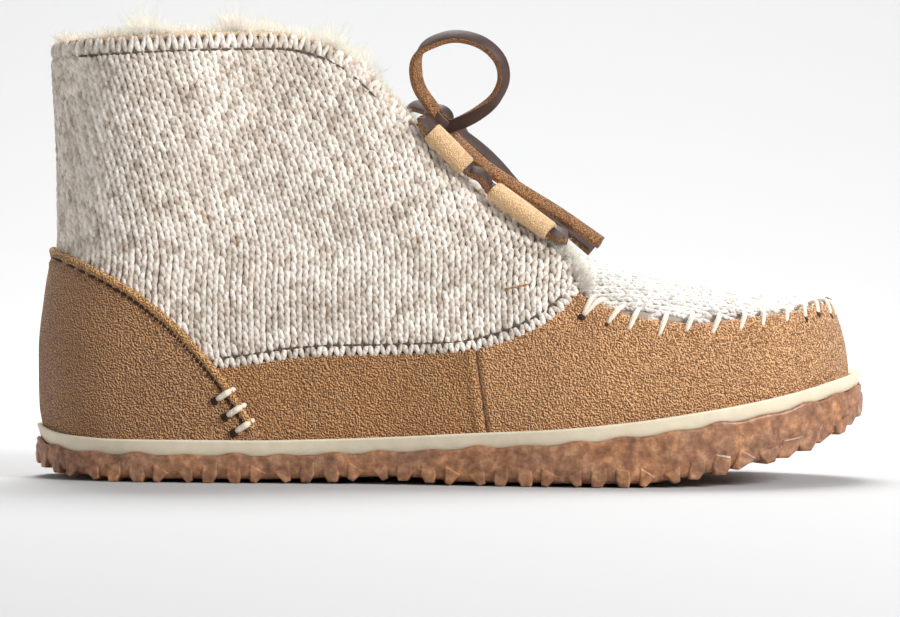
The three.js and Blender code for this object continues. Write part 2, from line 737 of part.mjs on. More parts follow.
function edgeLug(way, points) {
  const side = way < 0.5 ? OUTER : INNER;
  const share = way < 0.5 ? way * 2 : 2 - way * 2;
  const p = outline(side, share, LUG_DEPTH);
  const shape = points.map(([across, up]) => corner(across * LUG_WIDTH, up * LUG_PEAK));
  const outward = new THREE.Vector3(p.nx, p.ny, 0);
  const up = new THREE.Vector3(0, 0, 1);
  const basis = new THREE.Matrix4().makeBasis(new THREE.Vector3().crossVectors(up, outward), up, outward);
  basis.setPosition(p.x, p.y, groundZ(outline(side, share).x));
  return solidFrom(extruded(shape, LUG_DEPTH + LUG_PROUD).applyMatrix4(basis));
}

// A tread lug under the sole: a low pyramid with a flat foot
function treadLug(x, y, turn) {
  const { length, width } = TREAD_LUG;
  const ground = groundZ(x);
  const lug = new THREE.CylinderGeometry(0.62, 0.36, LUG_HEIGHT + 1, 4, 1).rotateX(PI / 2).rotateZ(turn);
  lug.scale(length, width, 1);
  return solidFrom(lug.translate(x, y, ground + (LUG_HEIGHT + 1) / 2));
}

const TREAD_ROWS = [
  { from: 0.12, to: 0.92, count: 10, across: 0 },
  { from: 0.16, to: 0.88, count: 8, across: -0.36 },
  { from: 0.16, to: 0.88, count: 8, across: 0.36 },
];

function outsole() {
  const body = (x) => groundZ(x) + LUG_HEIGHT;
  const lobe = (i) => i % 2;
  let sole = skin([
    soleRing(BOTTOM_INSET, (x) => min(body(x), gumTop(x) - 1.5)),
    soleRing((i) => LUG_PROUD * lobe(i), (x) => mix(body(x), gumTop(x), 0.8)),
    soleRing(0.25, (x, i) => gumTop(x) + GAP + wave(i)),
    soleRing(GUM_RIM, (x, i) => gumTop(x) + GAP + wave(i)),
    soleRing(GUM_RIM, (x) => gumTop(x)),
  ]);
  const lugs = [];
  const count = LUG_GROUPS * LUG_SHAPES.length;
  for (let i = 0; i < count; i++) lugs.push(edgeLug((i + 0.5) / count, LUG_SHAPES[i % LUG_SHAPES.length]));
  for (const row of TREAD_ROWS) {
    for (const share of spread(row.from, row.to, row.count)) {
      const x = alongX(share);
      lugs.push(treadLug(x, acrossY(row.across) + ridgeY(x), row.across ? PI / 4 : 0));
    }
  }
  for (const lug of lugs) sole = sole.add(lug);
  const seat = skin([
    soleRing(GUM_RIM, (x) => gumTop(x)),
    soleRing(GUM_RIM, (x) => gumTop(x) + 3 * MIDSOLE),
  ]);
  return sole.subtract(seat);
}

// A place on one side of the instep, found from its place in the side view, with the last's normal there
function onInstep(side, x, z) {
  let best = { far: Infinity, share: 0.45, rise: 0.8 };
  for (let reach = 0.2; reach > 0.0005; reach *= 0.6) {
    const from = { ...best };
    for (let i = -4; i <= 4; i++) {
      for (let j = -4; j <= 4; j++) {
        const share = min(max(from.share + (i * reach) / 4, COLLAR_SHARE), 0.8);
        const rise = min(max(from.rise + (j * reach) / 4, 0), 1);
        const p = surface(side, share, rise);
        const far = hypot(p.x - x, p.z - z);
        if (far < best.far) best = { far, share, rise };
      }
    }
  }
  return { point: surface(side, best.share, best.rise), normal: normal(side, best.share, best.rise) };
}

// The line through a tab, from its upper end to its lower end, and the way that the tab faces
function tabAxis(side, tab) {
  const line = beside(topEdge, -TAB.inset);
  const rise = KNIT_STEP + GAP + LACE.thickness / 2 + TAB.clearance + TAB.wall + TAB.lift;
  const ends = [tab.from, tab.to].map((share) => onInstep(side, alongX(share), lineHeight(line, alongX(share))));
  const [start, end] = ends.map((place) => place.point.clone().addScaledVector(place.normal, rise));
  const ahead = end.clone().sub(start).normalize();
  const out = ends[0].normal.clone().add(ends[1].normal);
  return { start, end, ahead, out: out.addScaledVector(ahead, -out.dot(ahead)).normalize() };
}

// A flat lace along points, its flat side turned by a facing that is worked out at each step
function flatLace(points, steps, facing) {
  const curve = new THREE.CatmullRomCurve3(points, false, "centripetal");
  const { width, thickness } = LACE;
  const rings = [];
  for (let i = 0; i <= steps; i++) {
    const p = curve.getPointAt(i / steps);
    const ahead = curve.getTangentAt(i / steps);
    const out = facing(p, i / steps);
    out.addScaledVector(ahead, -out.dot(ahead)).normalize();
    const across = new THREE.Vector3().crossVectors(ahead, out);
    const at = (a, b) => p.clone().addScaledVector(across, a * width).addScaledVector(out, b * thickness);
    rings.push([at(-0.5, -0.5), at(-0.5, 0.5), at(0.5, 0.5), at(0.5, -0.5)]);
  }
  const faces = [];
  const last = steps * 4;
  for (let r = 0; r < steps; r++) {
    for (let k = 0; k < 4; k++) {
      const [a, b] = [r * 4 + k, r * 4 + ((k + 1) % 4)];
      faces.push([a, b, b + 4], [a, b + 4, a + 4]);
    }
  }
  faces.push([0, 2, 1], [0, 3, 2], [last, last + 1, last + 2], [last, last + 2, last + 3]);
  return solidOf(rings.flat(), faces);
}

const beyond = (axis, from, distance) => axis[from].clone().addScaledVector(axis.ahead, distance);
const laceTops = [OUTER, INNER].map((side) => beyond(tabAxis(side, TABS.upper), "start", -4.9));
const knotAt = laceTops[0].clone().lerp(laceTops[1], 0.5).add(new THREE.Vector3(KNOT.ahead, 0, 0));
const CROSSING = { along: 0.634, height: 0.566 };

// The lace on one side: from beside the knot, down through both tabs
function laceSide(side) {
  const upperTab = tabAxis(side, TABS.upper);
  const lowerTab = tabAxis(side, TABS.lower);
  const bow = upperTab.end.clone().lerp(lowerTab.start, 0.5);
  bow.addScaledVector(upperTab.out, 1.2);
  const points = [
    beyond(upperTab, "start", -4.9), upperTab.start, upperTab.end, beyond(upperTab, "end", 1.6), bow,
    beyond(lowerTab, "start", -1.6), lowerTab.start, lowerTab.end, beyond(lowerTab, "end", 6.2),
  ];
  const turn = (_, t) => upperTab.out.clone().lerp(lowerTab.out, min(max((t - 0.42) / 0.12, 0), 1));
  const link = knotAt.clone().sub(points[0]);
  const reach = link.length() - KNOT.radius - GAP;
  const linkEnd = points[0].clone().addScaledVector(link.normalize(), reach);
  const linkStart = beyond(upperTab, "start", -2.8);
  return flatLace(points, 16, turn)
    .add(flatLace([linkStart, linkEnd], 1, () => upperTab.out.clone()))
    .add(crossingHalf(side, beyond(lowerTab, "end", 4.4), lowerTab.out));
}

// Half of the lace's way over the tongue, between the lower tabs
function crossingHalf(side, start, out) {
  const middle = new THREE.Vector3(alongX(CROSSING.along), -side * 0.5, heightZ(CROSSING.height));
  const shoulder = start.clone().lerp(middle, 0.45);
  shoulder.z += 1.4;
  const over = new THREE.Vector3(0.4, 0, 0.9);
  return flatLace([start, shoulder, middle], 4, (_, t) => out.clone().lerp(over, t));
}

const laceRun = () => laceSide(OUTER).add(laceSide(INNER));

// The bow and its ends, as points from the knot, chosen by hand
const LOOP_OUTER = [
  [-1.5, -4.5, 4], [-5.8, -9.6, 9.9], [-7.3, -11, 15.1], [-6.8, -12, 20.5], [-3.3, -13, 24.5],
  [4.8, -14, 27.1], [13.4, -14, 25.3], [19.4, -13, 20.1], [20.9, -11.5, 13.5], [18.1, -9.8, 7.6],
  [13.4, -8, 3.8], [8, -6.6, 1.4],
];
const LOOP_INNER = [
  [-1.9, 4.2, 3.6], [-7, 11.4, 5.1], [-9.6, 16.4, 4.3], [-12.3, 23, 1.5], [-13.8, 31, -4.5],
  [-11.8, 36.5, -12.5], [-6.3, 38.5, -19], [1.2, 37.5, -20], [7.2, 33.5, -16], [9.4, 26.5, -9.5],
  [8.2, 18.5, -3.5], [3.4, 6.4, -0.3],
];
const END_OUTER = [
  [3.9, -2.9, -2.2], [11.2, -6, -9.9], [17, -6.6, -15.1], [26.5, -6.6, -21.5], [39.4, -5, -29.9], [52.8, -3.5, -39.1],
];
const END_INNER = [
  [4.1, 2.4, -1.8], [13.2, 4.6, -8.1], [19.2, 4.4, -14.3], [27.7, 3.6, -22.3], [38.2, 3.2, -29.3], [50.8, 3, -39.1],
];

const cord = (points, steps, facing) =>
  flatLace(points.map((p) => new THREE.Vector3(...p).add(knotAt)), steps, facing);

// A loop's flat side faces out of its ring, turned a little towards the viewer; an end's faces up
function fromCentre(x, y, z, lean) {
  const centre = new THREE.Vector3(x, y, z).add(knotAt);
  return (p) => p.clone().sub(centre).normalize().add(new THREE.Vector3(0, lean, 0));
}
const upwards = (lean) => () => new THREE.Vector3(0.4, lean, 0.9);

// The knot: the lace's two turns round itself, drawn tight
function knot() {
  const { radius, strand } = KNOT;
  const band = new THREE.TorusGeometry(radius - strand, strand, 4, 8);
  const turns = [band.clone().rotateY(0.9), band.clone().rotateX(PI / 2).scale(0.9, 0.9, 1)];
  const core = new THREE.IcosahedronGeometry(radius - 1.2, 0);
  return [core, ...turns].map((part) => solidFrom(part.translate(...knotAt)))
    .reduce((whole, part) => whole.add(part));
}

// A tab: a suede loop with the lace through it, along the quarter's front edge
function laceTab(side, tab) {
  const { start, end, ahead, out } = tabAxis(side, tab);
  const length = start.distanceTo(end);
  const halfHole = [LACE.width / 2 + TAB.clearance, LACE.thickness / 2 + TAB.clearance];
  const [w, h] = halfHole.map((size) => size + TAB.wall);
  const shape = new THREE.Shape();
  shape.moveTo(h - w, -h);
  shape.lineTo(w - h, -h);
  shape.absarc(w - h, 0, h, -PI / 2, PI / 2);
  shape.lineTo(h - w, h);
  shape.absarc(h - w, 0, h, PI / 2, 1.5 * PI);
  const [v, g] = halfHole;
  shape.holes.push(new THREE.Path([corner(-v, -g), corner(v, -g), corner(v, g), corner(-v, g)]));
  const loop = new THREE.ExtrudeGeometry(shape, { depth: length, bevelEnabled: false, curveSegments: 3 });
  const across = new THREE.Vector3().crossVectors(out, ahead);
  return solidFrom(loop.applyMatrix4(new THREE.Matrix4().makeBasis(across, out, ahead).setPosition(start)));
}

const MATERIALS = {
  gum: new THREE.MeshStandardMaterial({ color: 0x9a6a45, roughness: 0.45, metalness: 0 }),
  cream_rubber: new THREE.MeshStandardMaterial({ color: 0xdccfae, roughness: 0.6, metalness: 0 }),
  knit: new THREE.MeshStandardMaterial({ color: 0xc9c0b4, roughness: 0.95, metalness: 0 }),
  plug_knit: new THREE.MeshStandardMaterial({ color: 0xe4e0d9, roughness: 0.95, metalness: 0 }),
  suede: new THREE.MeshStandardMaterial({ color: 0xa9733f, roughness: 0.9, metalness: 0 }),
  fleece: new THREE.MeshStandardMaterial({ color: 0xf3ead9, roughness: 1, metalness: 0 }),
  lace_leather: new THREE.MeshStandardMaterial({ color: 0x6b4029, roughness: 0.6, metalness: 0 }),
};

// The piece itself, without the crumbs that its cuts leave
function largestBody(solid) {
  return solid.decompose().reduce((best, body) => (body.volume() > best.volume() ? body : best));
}

const boot = new THREE.Group();

function place(name, solid, material) {
  const { vertProperties, triVerts } = largestBody(solid).getMesh();
  const geometry = new THREE.BufferGeometry();
  geometry.setAttribute("position", new THREE.BufferAttribute(vertProperties, 3));
  geometry.setIndex(new THREE.BufferAttribute(triVerts, 1));
  const mesh = new THREE.Mesh(geometry, MATERIALS[material]);
  mesh.name = name;
  boot.add(mesh);
}

place("outsole", outsole(), "gum");
place("midsole", midsole(), "cream_rubber");
place("insole", insole(), "fleece");
place("upper", bootWall, "knit");
place("heel_counter", heelCounter(), "suede");
place("side_panel_outer", sidePanel(OUTER), "suede");
place("side_panel_inner", sidePanel(INNER), "suede");
place("vamp", vamp(), "suede");
place("plug_tongue", plugAndTongue(), "plug_knit");
place("fleece_collar", fleeceCollar(), "fleece");
place("lace_tab_upper_outer", laceTab(OUTER, TABS.upper), "suede");
place("lace_tab_upper_inner", laceTab(INNER, TABS.upper), "suede");
place("lace_tab_lower_outer", laceTab(OUTER, TABS.lower), "suede");
place("lace_tab_lower_inner", laceTab(INNER, TABS.lower), "suede");
place("lace_run", laceRun(), "lace_leather");
place("lace_knot", knot(), "lace_leather");
place("lace_loop_outer", cord(LOOP_OUTER, 24, fromCentre(6.2, -11, 14.5, -0.3)), "lace_leather");
place("lace_loop_inner", cord(LOOP_INNER, 24, fromCentre(-2.8, 25, -8.5, 0)), "lace_leather");
place("lace_end_outer", cord(END_OUTER, 10, upwards(-0.55)), "lace_leather");
place("lace_end_inner", cord(END_INNER, 10, upwards(0.1)), "lace_leather");

export default boot;
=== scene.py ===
# The looks of a knitted moccasin ankle boot, right foot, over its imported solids.
# Shapes are worked out in millimetres in the row's frame and stored in metres.
import math

import bpy
import numpy as np
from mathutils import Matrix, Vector
from mathutils.bvhtree import BVHTree


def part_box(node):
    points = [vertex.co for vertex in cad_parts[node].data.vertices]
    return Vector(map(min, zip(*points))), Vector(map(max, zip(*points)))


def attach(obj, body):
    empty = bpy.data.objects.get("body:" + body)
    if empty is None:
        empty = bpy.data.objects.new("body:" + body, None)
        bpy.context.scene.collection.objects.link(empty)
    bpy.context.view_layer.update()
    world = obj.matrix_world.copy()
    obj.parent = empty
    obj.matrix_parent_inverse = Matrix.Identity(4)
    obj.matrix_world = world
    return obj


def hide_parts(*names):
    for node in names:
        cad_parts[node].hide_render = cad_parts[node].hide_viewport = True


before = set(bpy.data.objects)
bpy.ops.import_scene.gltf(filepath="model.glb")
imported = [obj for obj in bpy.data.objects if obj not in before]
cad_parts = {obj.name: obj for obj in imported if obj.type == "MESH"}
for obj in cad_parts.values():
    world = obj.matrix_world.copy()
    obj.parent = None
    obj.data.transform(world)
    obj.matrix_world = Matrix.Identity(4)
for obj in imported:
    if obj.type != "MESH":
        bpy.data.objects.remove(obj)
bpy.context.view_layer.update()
MM = 0.001
chance = np.random.default_rng(7)

# Camera: the place from which the photo was taken, and its roll
EYE = (-0.3, -1500.0, 95.0)
FOCAL = 4623 / 900  # focal length as a share of the picture's width
EYE_LEVEL = 123.3 / 4623  # how far the view points down, as a slope
ROLL = math.radians(-0.3)

camera = bpy.data.objects.new("camera", bpy.data.cameras.new("camera"))
bpy.context.collection.objects.link(camera)
camera.data.sensor_width = 36
camera.data.lens = 36 * FOCAL
camera.data.clip_end = 50
camera.location = [v * MM for v in EYE]
camera.rotation_euler = (math.pi / 2 - math.atan(EYE_LEVEL), ROLL, 0)
bpy.context.scene.camera = camera

# Sizes of the last, the pieces and the sole
LENGTH, BALL = 268.0, 96.0
HALF = LENGTH / 2
FEATHER, SPRING = 13.6, 22.0
COLLAR_HEIGHT, COLLAR_LENGTH, COLLAR_WIDTH, COLLAR_SPARE = 142.3, 88.8, 71.0, 21.0
COLLAR_SHARE, COLLAR_POWER, COLLAR_WIDEST = 0.3, 0.6, 0.841
BACK_HOLLOW, TOE_SWING = 3.1, 4.5
GAP, WALL, KNIT, SUEDE = 0.3, 1.8, 1.8, 1.0
COUNTER_HEIGHT = KNIT + GAP + SUEDE
FLEECE, INSOLE = 4.2, 5.0
UPPER_INSET, MIDSOLE_LIP, MIDSOLE, GUM_RIM = 5.6, 2.4, 5.2, 1.1
LUG_HEIGHT, LUG_WIDTH, LUG_DEPTH, LUG_PROUD, LUG_PEAK, LUG_GROUPS = 2.6, 4.6, 8.0, 0.5, 7.0, 20
BOTTOM_INSET, WAVE_HEIGHT = 1.8, 1.3
LACE_WIDTH, LACE_THICK = 4.4, 2.2
# The knit's two steps on the quarter, level and upwards: to the next column, and to the next row
NEXT_COLUMN, NEXT_ROW = (3.6, 1.15), (-0.46, 2.88)

SOLE_PLAN = [
    (0, 0), (0.014, -0.25), (0.05, -0.48), (0.12, -0.66), (0.24, -0.72), (0.38, -0.75), (0.52, -0.87),
    (0.65, -1), (0.77, -0.97), (0.87, -0.79), (0.95, -0.49), (0.99, -0.16), (1, 0.12), (0.988, 0.42),
    (0.945, 0.71), (0.87, 0.91), (0.76, 1), (0.65, 0.97), (0.52, 0.8), (0.4, 0.68), (0.28, 0.65),
    (0.14, 0.65), (0.055, 0.49), (0.014, 0.25),
]
TOE_ROW = 12
SOLE_SIDE = [  # at, feather, ground
    (0, 0.165, 0.2), (0.025, 0.07, 0.1), (0.05, 0.03, 0.045), (0.1, 0, 0), (0.26, 0, 0), (0.36, 0.03, 0.03),
    (0.44, 0.075, 0.06), (0.52, 0.135, 0), (0.62, 0.205, 0), (0.72, 0.33, 0), (0.79, 0.455, 0.12),
    (0.85, 0.575, 0.26), (0.91, 0.725, 0.45), (0.96, 0.88, 0.68), (1, 1, 1),
]
RIDGE = [  # at, along, height
    (0.3, 0.352, 1.1476), (0.35, 0.398, 1.04), (0.4, 0.446, 0.915), (0.45, 0.498, 0.785), (0.5, 0.554, 0.668),
    (0.56, 0.617, 0.583), (0.62, 0.672, 0.5195), (0.7, 0.737, 0.474), (0.8, 0.81, 0.444), (0.9, 0.885, 0.427),
    (1, 0.951, 0.424),
]
PROFILE = [  # at, squareness, share of the back curve
    (0, 1, 1), (0.08, 1, 0.85), (0.16, 1.05, 0.4), (0.22, 1.35, 0.1), (0.27, 1.8, 0), (0.32, 2.1, 0),
    (0.5, 2.3, 0), (0.6, 2.75, 0), (0.7, 3.3, 0), (0.8, 3.6, 0), (0.9, 3.2, 0), (0.96, 2.1, 0), (1, 1.25, 0),
]
BACK_CURVE = [
    (0, 0.1), (0.06, 0.55), (0.17, 0.65), (0.3, 0), (0.42, -0.9), (0.56, -0.85), (0.75, -0.4), (0.9, 0),
    (1, 0.2),
]
TOP_EDGE = [
    (-0.03, 0.974), (0.015, 0.977), (0.085, 0.984), (0.168, 0.993), (0.256, 1), (0.305, 0.998), (0.345, 0.98),
    (0.375, 0.952), (0.404, 0.908), (0.439, 0.838), (0.475, 0.766), (0.516, 0.685), (0.56, 0.616),
    (0.608, 0.552), (0.639, 0.5), (0.657, 0.44),
]
HEM = [
    (0.12, 0.24), (0.235, 0.256), (0.327, 0.281), (0.432, 0.288), (0.523, 0.298), (0.582, 0.33),
    (0.628, 0.38),
    (0.657, 0.44), (0.672, 0.475),
]
COUNTER_EDGE = [
    (-0.03, 0.545), (0.026, 0.52), (0.073, 0.484), (0.125, 0.43), (0.165, 0.368), (0.2, 0.302),
    (0.231, 0.234),
    (0.258, 0.16), (0.279, 0.09), (0.288, 0.04),
]
VAMP_SEAM = [(0.53, 0.4), (0.533, 0.28), (0.545, 0.12), (0.549, 0.04)]
PLUG_PLAN = [  # along, outer, inner
    (0.652, 0.71, 0.7), (0.72, 0.785, 0.76), (0.8, 0.735, 0.75), (0.872, 0.55, 0.65), (0.922, 0.31, 0.46),
]
PLUG_TIP = (0.954, 0.08)
TONGUE_DEPTH, PLUG_SUNK, PLUG_THICK = 9.0, 0.3, 2.4
TONGUE = [  # at, depth, width
    (0.28, 1, 0.24), (0.36, 1, 0.3), (0.42, 1, 0.4), (0.5, 0.84, 0.44), (0.58, 0.58, 0.48),
    (0.655, 0.36, 0.58),
    (0.69, 0.14, 0.58), (0.73, 0, 0.58), (1, 0, 0.58),
]
TABS = {"upper": (0.4664, 0.508), "lower": (0.5418, 0.6127)}
TAB_WALL, TAB_CLEAR, TAB_LIFT, TAB_INSET = 1.2, 0.4, 0.6, 1.2


def mix(a, b, t):
    return a + (b - a) * t


def along_x(share):
    return share * LENGTH - HALF


def smooth(low, high, x):
    t = np.clip((x - low) / (high - low), 0, 1)
    return t * t * (3 - 2 * t)


def way_along(p):
    """How far each point of a line lies along it."""
    return np.r_[0, np.cumsum(np.linalg.norm(np.diff(p, axis=0), axis=1))]


def halves(quads):
    return np.concatenate([quads[:, [0, 1, 2]], quads[:, [0, 2, 3]]])


def tube_faces(count, steps):
    """Faces that join steps + 1 rings of count points, one ring after the other."""
    return [[r * count + i, r * count + (i + 1) % count, (r + 1) * count + (i + 1) % count,
        (r + 1) * count + i]
            for r in range(steps) for i in range(count)]


def bilinear(grid, i, j):
    i0 = np.clip(i.astype(int), 0, grid.shape[0] - 2)
    j0 = np.clip(j.astype(int), 0, grid.shape[1] - 2)
    a, b = (i - i0)[:, None], (j - j0)[:, None]
    return (grid[i0, j0] * (1 - a) + grid[i0 + 1, j0] * a) * (1 - b) + (
        grid[i0, j0 + 1] * (1 - a) + grid[i0 + 1, j0 + 1] * a) * b


def split(spots):
    """Places and normals, each in one array."""
    return np.array([p for p, _ in spots]), np.array([n for _, n in spots])


def column(rows, k):
    """A smooth line through one column of a table that never runs past its rows."""
    at = np.array([row[0] for row in rows], float)
    value = np.array([row[k] for row in rows], float)
    steps = np.diff(value) / np.diff(at)
    before, after = np.r_[steps[0], steps], np.r_[steps, steps[-1]]
    product = before * after
    total = np.where(np.abs(before + after) < 1e-12, 1, before + after)
    slope = np.where(product > 0, 2 * product / total, 0)

    def line(x):
        x = np.clip(x, at[0], at[-1])
        i = np.clip(np.searchsorted(at, x, side="right") - 1, 0, len(at) - 2)
        width = at[i + 1] - at[i]
        t = (x - at[i]) / width
        start = (1 + 2 * t) * (1 - t) ** 2 * value[i] + t * (1 - t) ** 2 * width * slope[i]
        return start + t * t * (3 - 2 * t) * value[i + 1] + t * t * (t - 1) * width * slope[i + 1]

    return line


feather_share, ground_share = column(SOLE_SIDE, 1), column(SOLE_SIDE, 2)
ridge_along, ridge_height = column(RIDGE, 1), column(RIDGE, 2)
squareness, back_weight, back_curve = column(PROFILE, 1), column(PROFILE, 2), column(BACK_CURVE, 1)
tongue_depth, tongue_width = column(TONGUE, 1), column(TONGUE, 2)


def feather_z(x):
    return FEATHER + SPRING * feather_share((x + HALF) / LENGTH)


def ground_z(x):
    return SPRING * ground_share((x + HALF) / LENGTH)


def ridge_y(x):
    return TOE_SWING * np.maximum(0, (x + HALF) / LENGTH * 2 - 1) ** 1.5


def closed_curve(points, t):
    """A centripetal curve through a ring of points, t counted in points."""
    count = len(points)
    i = np.floor(t).astype(int)
    weight = (t - i)[:, None]
    p = [points[(i + k) % count] for k in (-1, 0, 1, 2)]
    d = [np.sqrt(np.linalg.norm(p[k + 1] - p[k], axis=1))[:, None] for k in range(3)]
    t1 = ((p[1] - p[0]) / d[0] - (p[2] - p[0]) / (d[0] + d[1]) + (p[2] - p[1]) / d[1]) * d[1]
    t2 = ((p[2] - p[1]) / d[1] - (p[3] - p[1]) / (d[1] + d[2]) + (p[3] - p[2]) / d[2]) * d[1]
    c2 = -3 * p[1] + 3 * p[2] - 2 * t1 - t2
    c3 = 2 * p[1] - 2 * p[2] + t1 + t2
    return p[1] + t1 * weight + c2 * weight**2 + c3 * weight**3


def sole_outline():
    """The outline from the heel by the outer side (0 to 1) and back by the inner side (1 to 2)."""
    rows = np.array([(along_x(a), c * BALL / 2) for a, c in SOLE_PLAN])
    split = TOE_ROW / len(rows)
    t = np.linspace(0, 1, 241)
    sides = [closed_curve(rows, t * split * len(rows)), closed_curve(rows, (1 - t * (1 - split)) * len(rows))]
    both = np.vstack(sides)
    low, high = both.min(0), both.max(0)
    fitted = [(s - (low + high) / 2) * (np.array([LENGTH, BALL]) / (high - low)) for s in sides]
    far = [way_along(s) for s in fitted]
    way = np.r_[far[0] / far[0][-1], 2 - (far[1] / far[1][-1])[::-1][1:]]
    return way, np.vstack([fitted[0], fitted[1][::-1][1:]])


WAY, RING = sole_outline()


def ring_point(u):
    u = np.mod(u, 2.0)
    return np.stack([np.interp(u, WAY, RING[:, 0]), np.interp(u, WAY, RING[:, 1])], -1)


def outline(u, inset=0.0):
    """Point of the sole's outline, moved in by inset, and its outward normal."""
    ahead = ring_point(u + 0.012) - ring_point(u - 0.012)
    ahead = ahead / np.linalg.norm(ahead, axis=-1, keepdims=True)
    out = np.stack([ahead[..., 1], -ahead[..., 0]], -1)
    return ring_point(u) - out * np.asarray(inset)[..., None], out


def profile_top(u):
    share, side = np.where(u <= 1, u, 2 - u), np.where(u <= 1, -1.0, 1.0)
    turn = np.pi * np.minimum(share, COLLAR_SHARE) / COLLAR_SHARE
    front = along_x(ridge_along(np.array(COLLAR_SHARE)))
    narrowing = np.maximum(0, np.cos(turn / 2)) ** COLLAR_POWER / COLLAR_WIDEST
    loop = [
        front - COLLAR_LENGTH * (1 + np.cos(turn)) / 2,
        side * np.sin(turn) * narrowing * COLLAR_WIDTH / 2,
        np.full_like(share, COLLAR_HEIGHT + COLLAR_SPARE),
    ]
    x = along_x(ridge_along(share))
    ridge = [x, ridge_y(x), COLLAR_HEIGHT * ridge_height(share)]
    return [np.where(share > COLLAR_SHARE, r, c) for r, c in zip(ridge, loop)]


def surface(u, rise):
    """The last: u as in sole_outline, rise from the sole's edge to the top of each profile."""
    u, rise = np.broadcast_arrays(np.mod(u, 2.0), np.clip(rise, 0, 1))
    share = np.where(u <= 1, u, 2 - u)
    foot, out = outline(u, np.full(u.shape, UPPER_INSET))
    top = profile_top(u)
    square = squareness(share)
    turn = mix(np.arcsin(np.sqrt(rise)), rise * np.pi / 2, np.minimum(1, square - 1))
    inward = 1 - np.maximum(0, np.cos(turn)) ** (2 / square)
    upward = np.sin(turn) ** (2 / square)
    hollow = BACK_HOLLOW * back_curve(upward) * back_weight(share)
    x = mix(foot[..., 0], top[0], inward) + out[..., 0] * hollow
    y = mix(foot[..., 1], top[1], inward) + out[..., 1] * hollow
    return np.stack([x, y, mix(feather_z(foot[..., 0]), top[2], upward)], -1)


def unit(v):
    return v / np.maximum(np.linalg.norm(v, axis=-1, keepdims=True), 1e-9)


def normals(u, rise):
    small = 0.004
    ahead = surface(u + small, rise) - surface(u - small, rise)
    upward = surface(u, np.minimum(1, rise + small)) - surface(u, np.maximum(0, rise - small))
    return unit(np.cross(ahead, upward))


# The last as a fine grid, with one more row under the sole's edge
COLUMNS, ROWS = 640, 104
BELOW_EDGE = 2.2
grid_u = np.arange(COLUMNS) / COLUMNS * 2
grid_rise = np.linspace(0, 1, ROWS)
LAST = surface(grid_u[:, None], grid_rise[None, :])
LAST_N = normals(grid_u[:, None], grid_rise[None, :])
below = LAST[:, :1].copy()
below[..., 2] -= BELOW_EDGE
LAST = np.concatenate([below, LAST], 1)
LAST_N = np.concatenate([LAST_N[:, :1], LAST_N], 1)
ROWS += 1


def grid_quads(step):
    """Faces over the last's grid, through every step-th column and row."""
    columns, rows = np.meshgrid(np.arange(0, COLUMNS, step), np.arange(0, ROWS - step, step), indexing="ij")
    beyond = (columns + step) % COLUMNS
    corners = [columns * ROWS + rows, beyond * ROWS + rows, beyond * ROWS + rows + step,
        columns * ROWS + rows + step]
    return np.stack(corners, -1).reshape(-1, 4)


QUADS = grid_quads(1)
LAST_TRIS = halves(QUADS)
COARSE_TRIS = halves(grid_quads(2))  # for what lies under other pieces
LAST_POINTS, LAST_NORMALS = LAST.reshape(-1, 3), LAST_N.reshape(-1, 3)
last_tree = BVHTree.FromPolygons([Vector(p) for p in LAST_POINTS], QUADS.tolist())


SLIGHTLY = Vector((0.01, 0.013, 0.01))  # a second line runs this far beside the first
SIDE_START, TOP_START = 300, 400


def cast(origin, direction):
    """Where a line first meets the last, with the last's normal there."""
    place, _, face, _ = last_tree.ray_cast(Vector(origin), Vector(direction))
    if place is None:  # the line ran between two faces
        place, _, face, _ = last_tree.ray_cast(Vector(origin) + SLIGHTLY, Vector(direction))
    if place is None:
        place, _, face, _ = last_tree.find_nearest(Vector(origin))
    return np.array(place), unit(LAST_NORMALS[QUADS[face]].mean(0))


def from_side(side, x, z):
    return cast((x, side * SIDE_START, z), (0, -side, 0))


def from_above(x, y):
    return cast((x, y, TOP_START), (0, 0, -1))


def nearest(point):
    place, _, face, _ = last_tree.find_nearest(Vector(point))
    return np.array(place), unit(LAST_NORMALS[QUADS[face]].mean(0))


def spline(rows, per=10):
    """A smooth line through rows of two or three numbers."""
    p = np.array(rows, float)
    p = np.vstack([p[:1], p, p[-1:]])
    out = []
    for i in range(1, len(p) - 2):
        t = np.linspace(0, 1, per, endpoint=False)[:, None]
        v0, v1 = (p[i + 1] - p[i - 1]) / 2, (p[i + 2] - p[i]) / 2
        out.append((2 * p[i] - 2 * p[i + 1] + v0 + v1) * t**3 + (-3 * p[i] + 3 * p[i + 1] - 2 * v0 - v1)
            * t**2 + v0 * t + p[i])
    return np.vstack(out + [p[-1:]])


def side_line(rows):
    return spline([(along_x(a), h * COLLAR_HEIGHT) for a, h in rows])


def left_of(line, points):
    """Distance of flat points from a line, above zero on the left of its direction."""
    a, b = line[:-1], line[1:]
    span = b - a
    best = np.full(len(points), np.inf)
    signed = np.zeros(len(points))
    for start, step in zip(a, span):
        off = points - start
        t = np.clip(off @ step / (step @ step), 0, 1)
        gap = off - t[:, None] * step
        far = np.hypot(gap[:, 0], gap[:, 1])
        turn = np.sign(step[0] * off[:, 1] - step[1] * off[:, 0])
        closer = far < best - 1e-9
        best = np.where(closer, far, best)
        signed = np.where(closer, far * turn, signed)
    return signed


top_line, hem_line, counter_line, seam_line = (side_line(t) for t in (TOP_EDGE, HEM, COUNTER_EDGE, VAMP_SEAM))
corner_x = top_line[-1, 0]


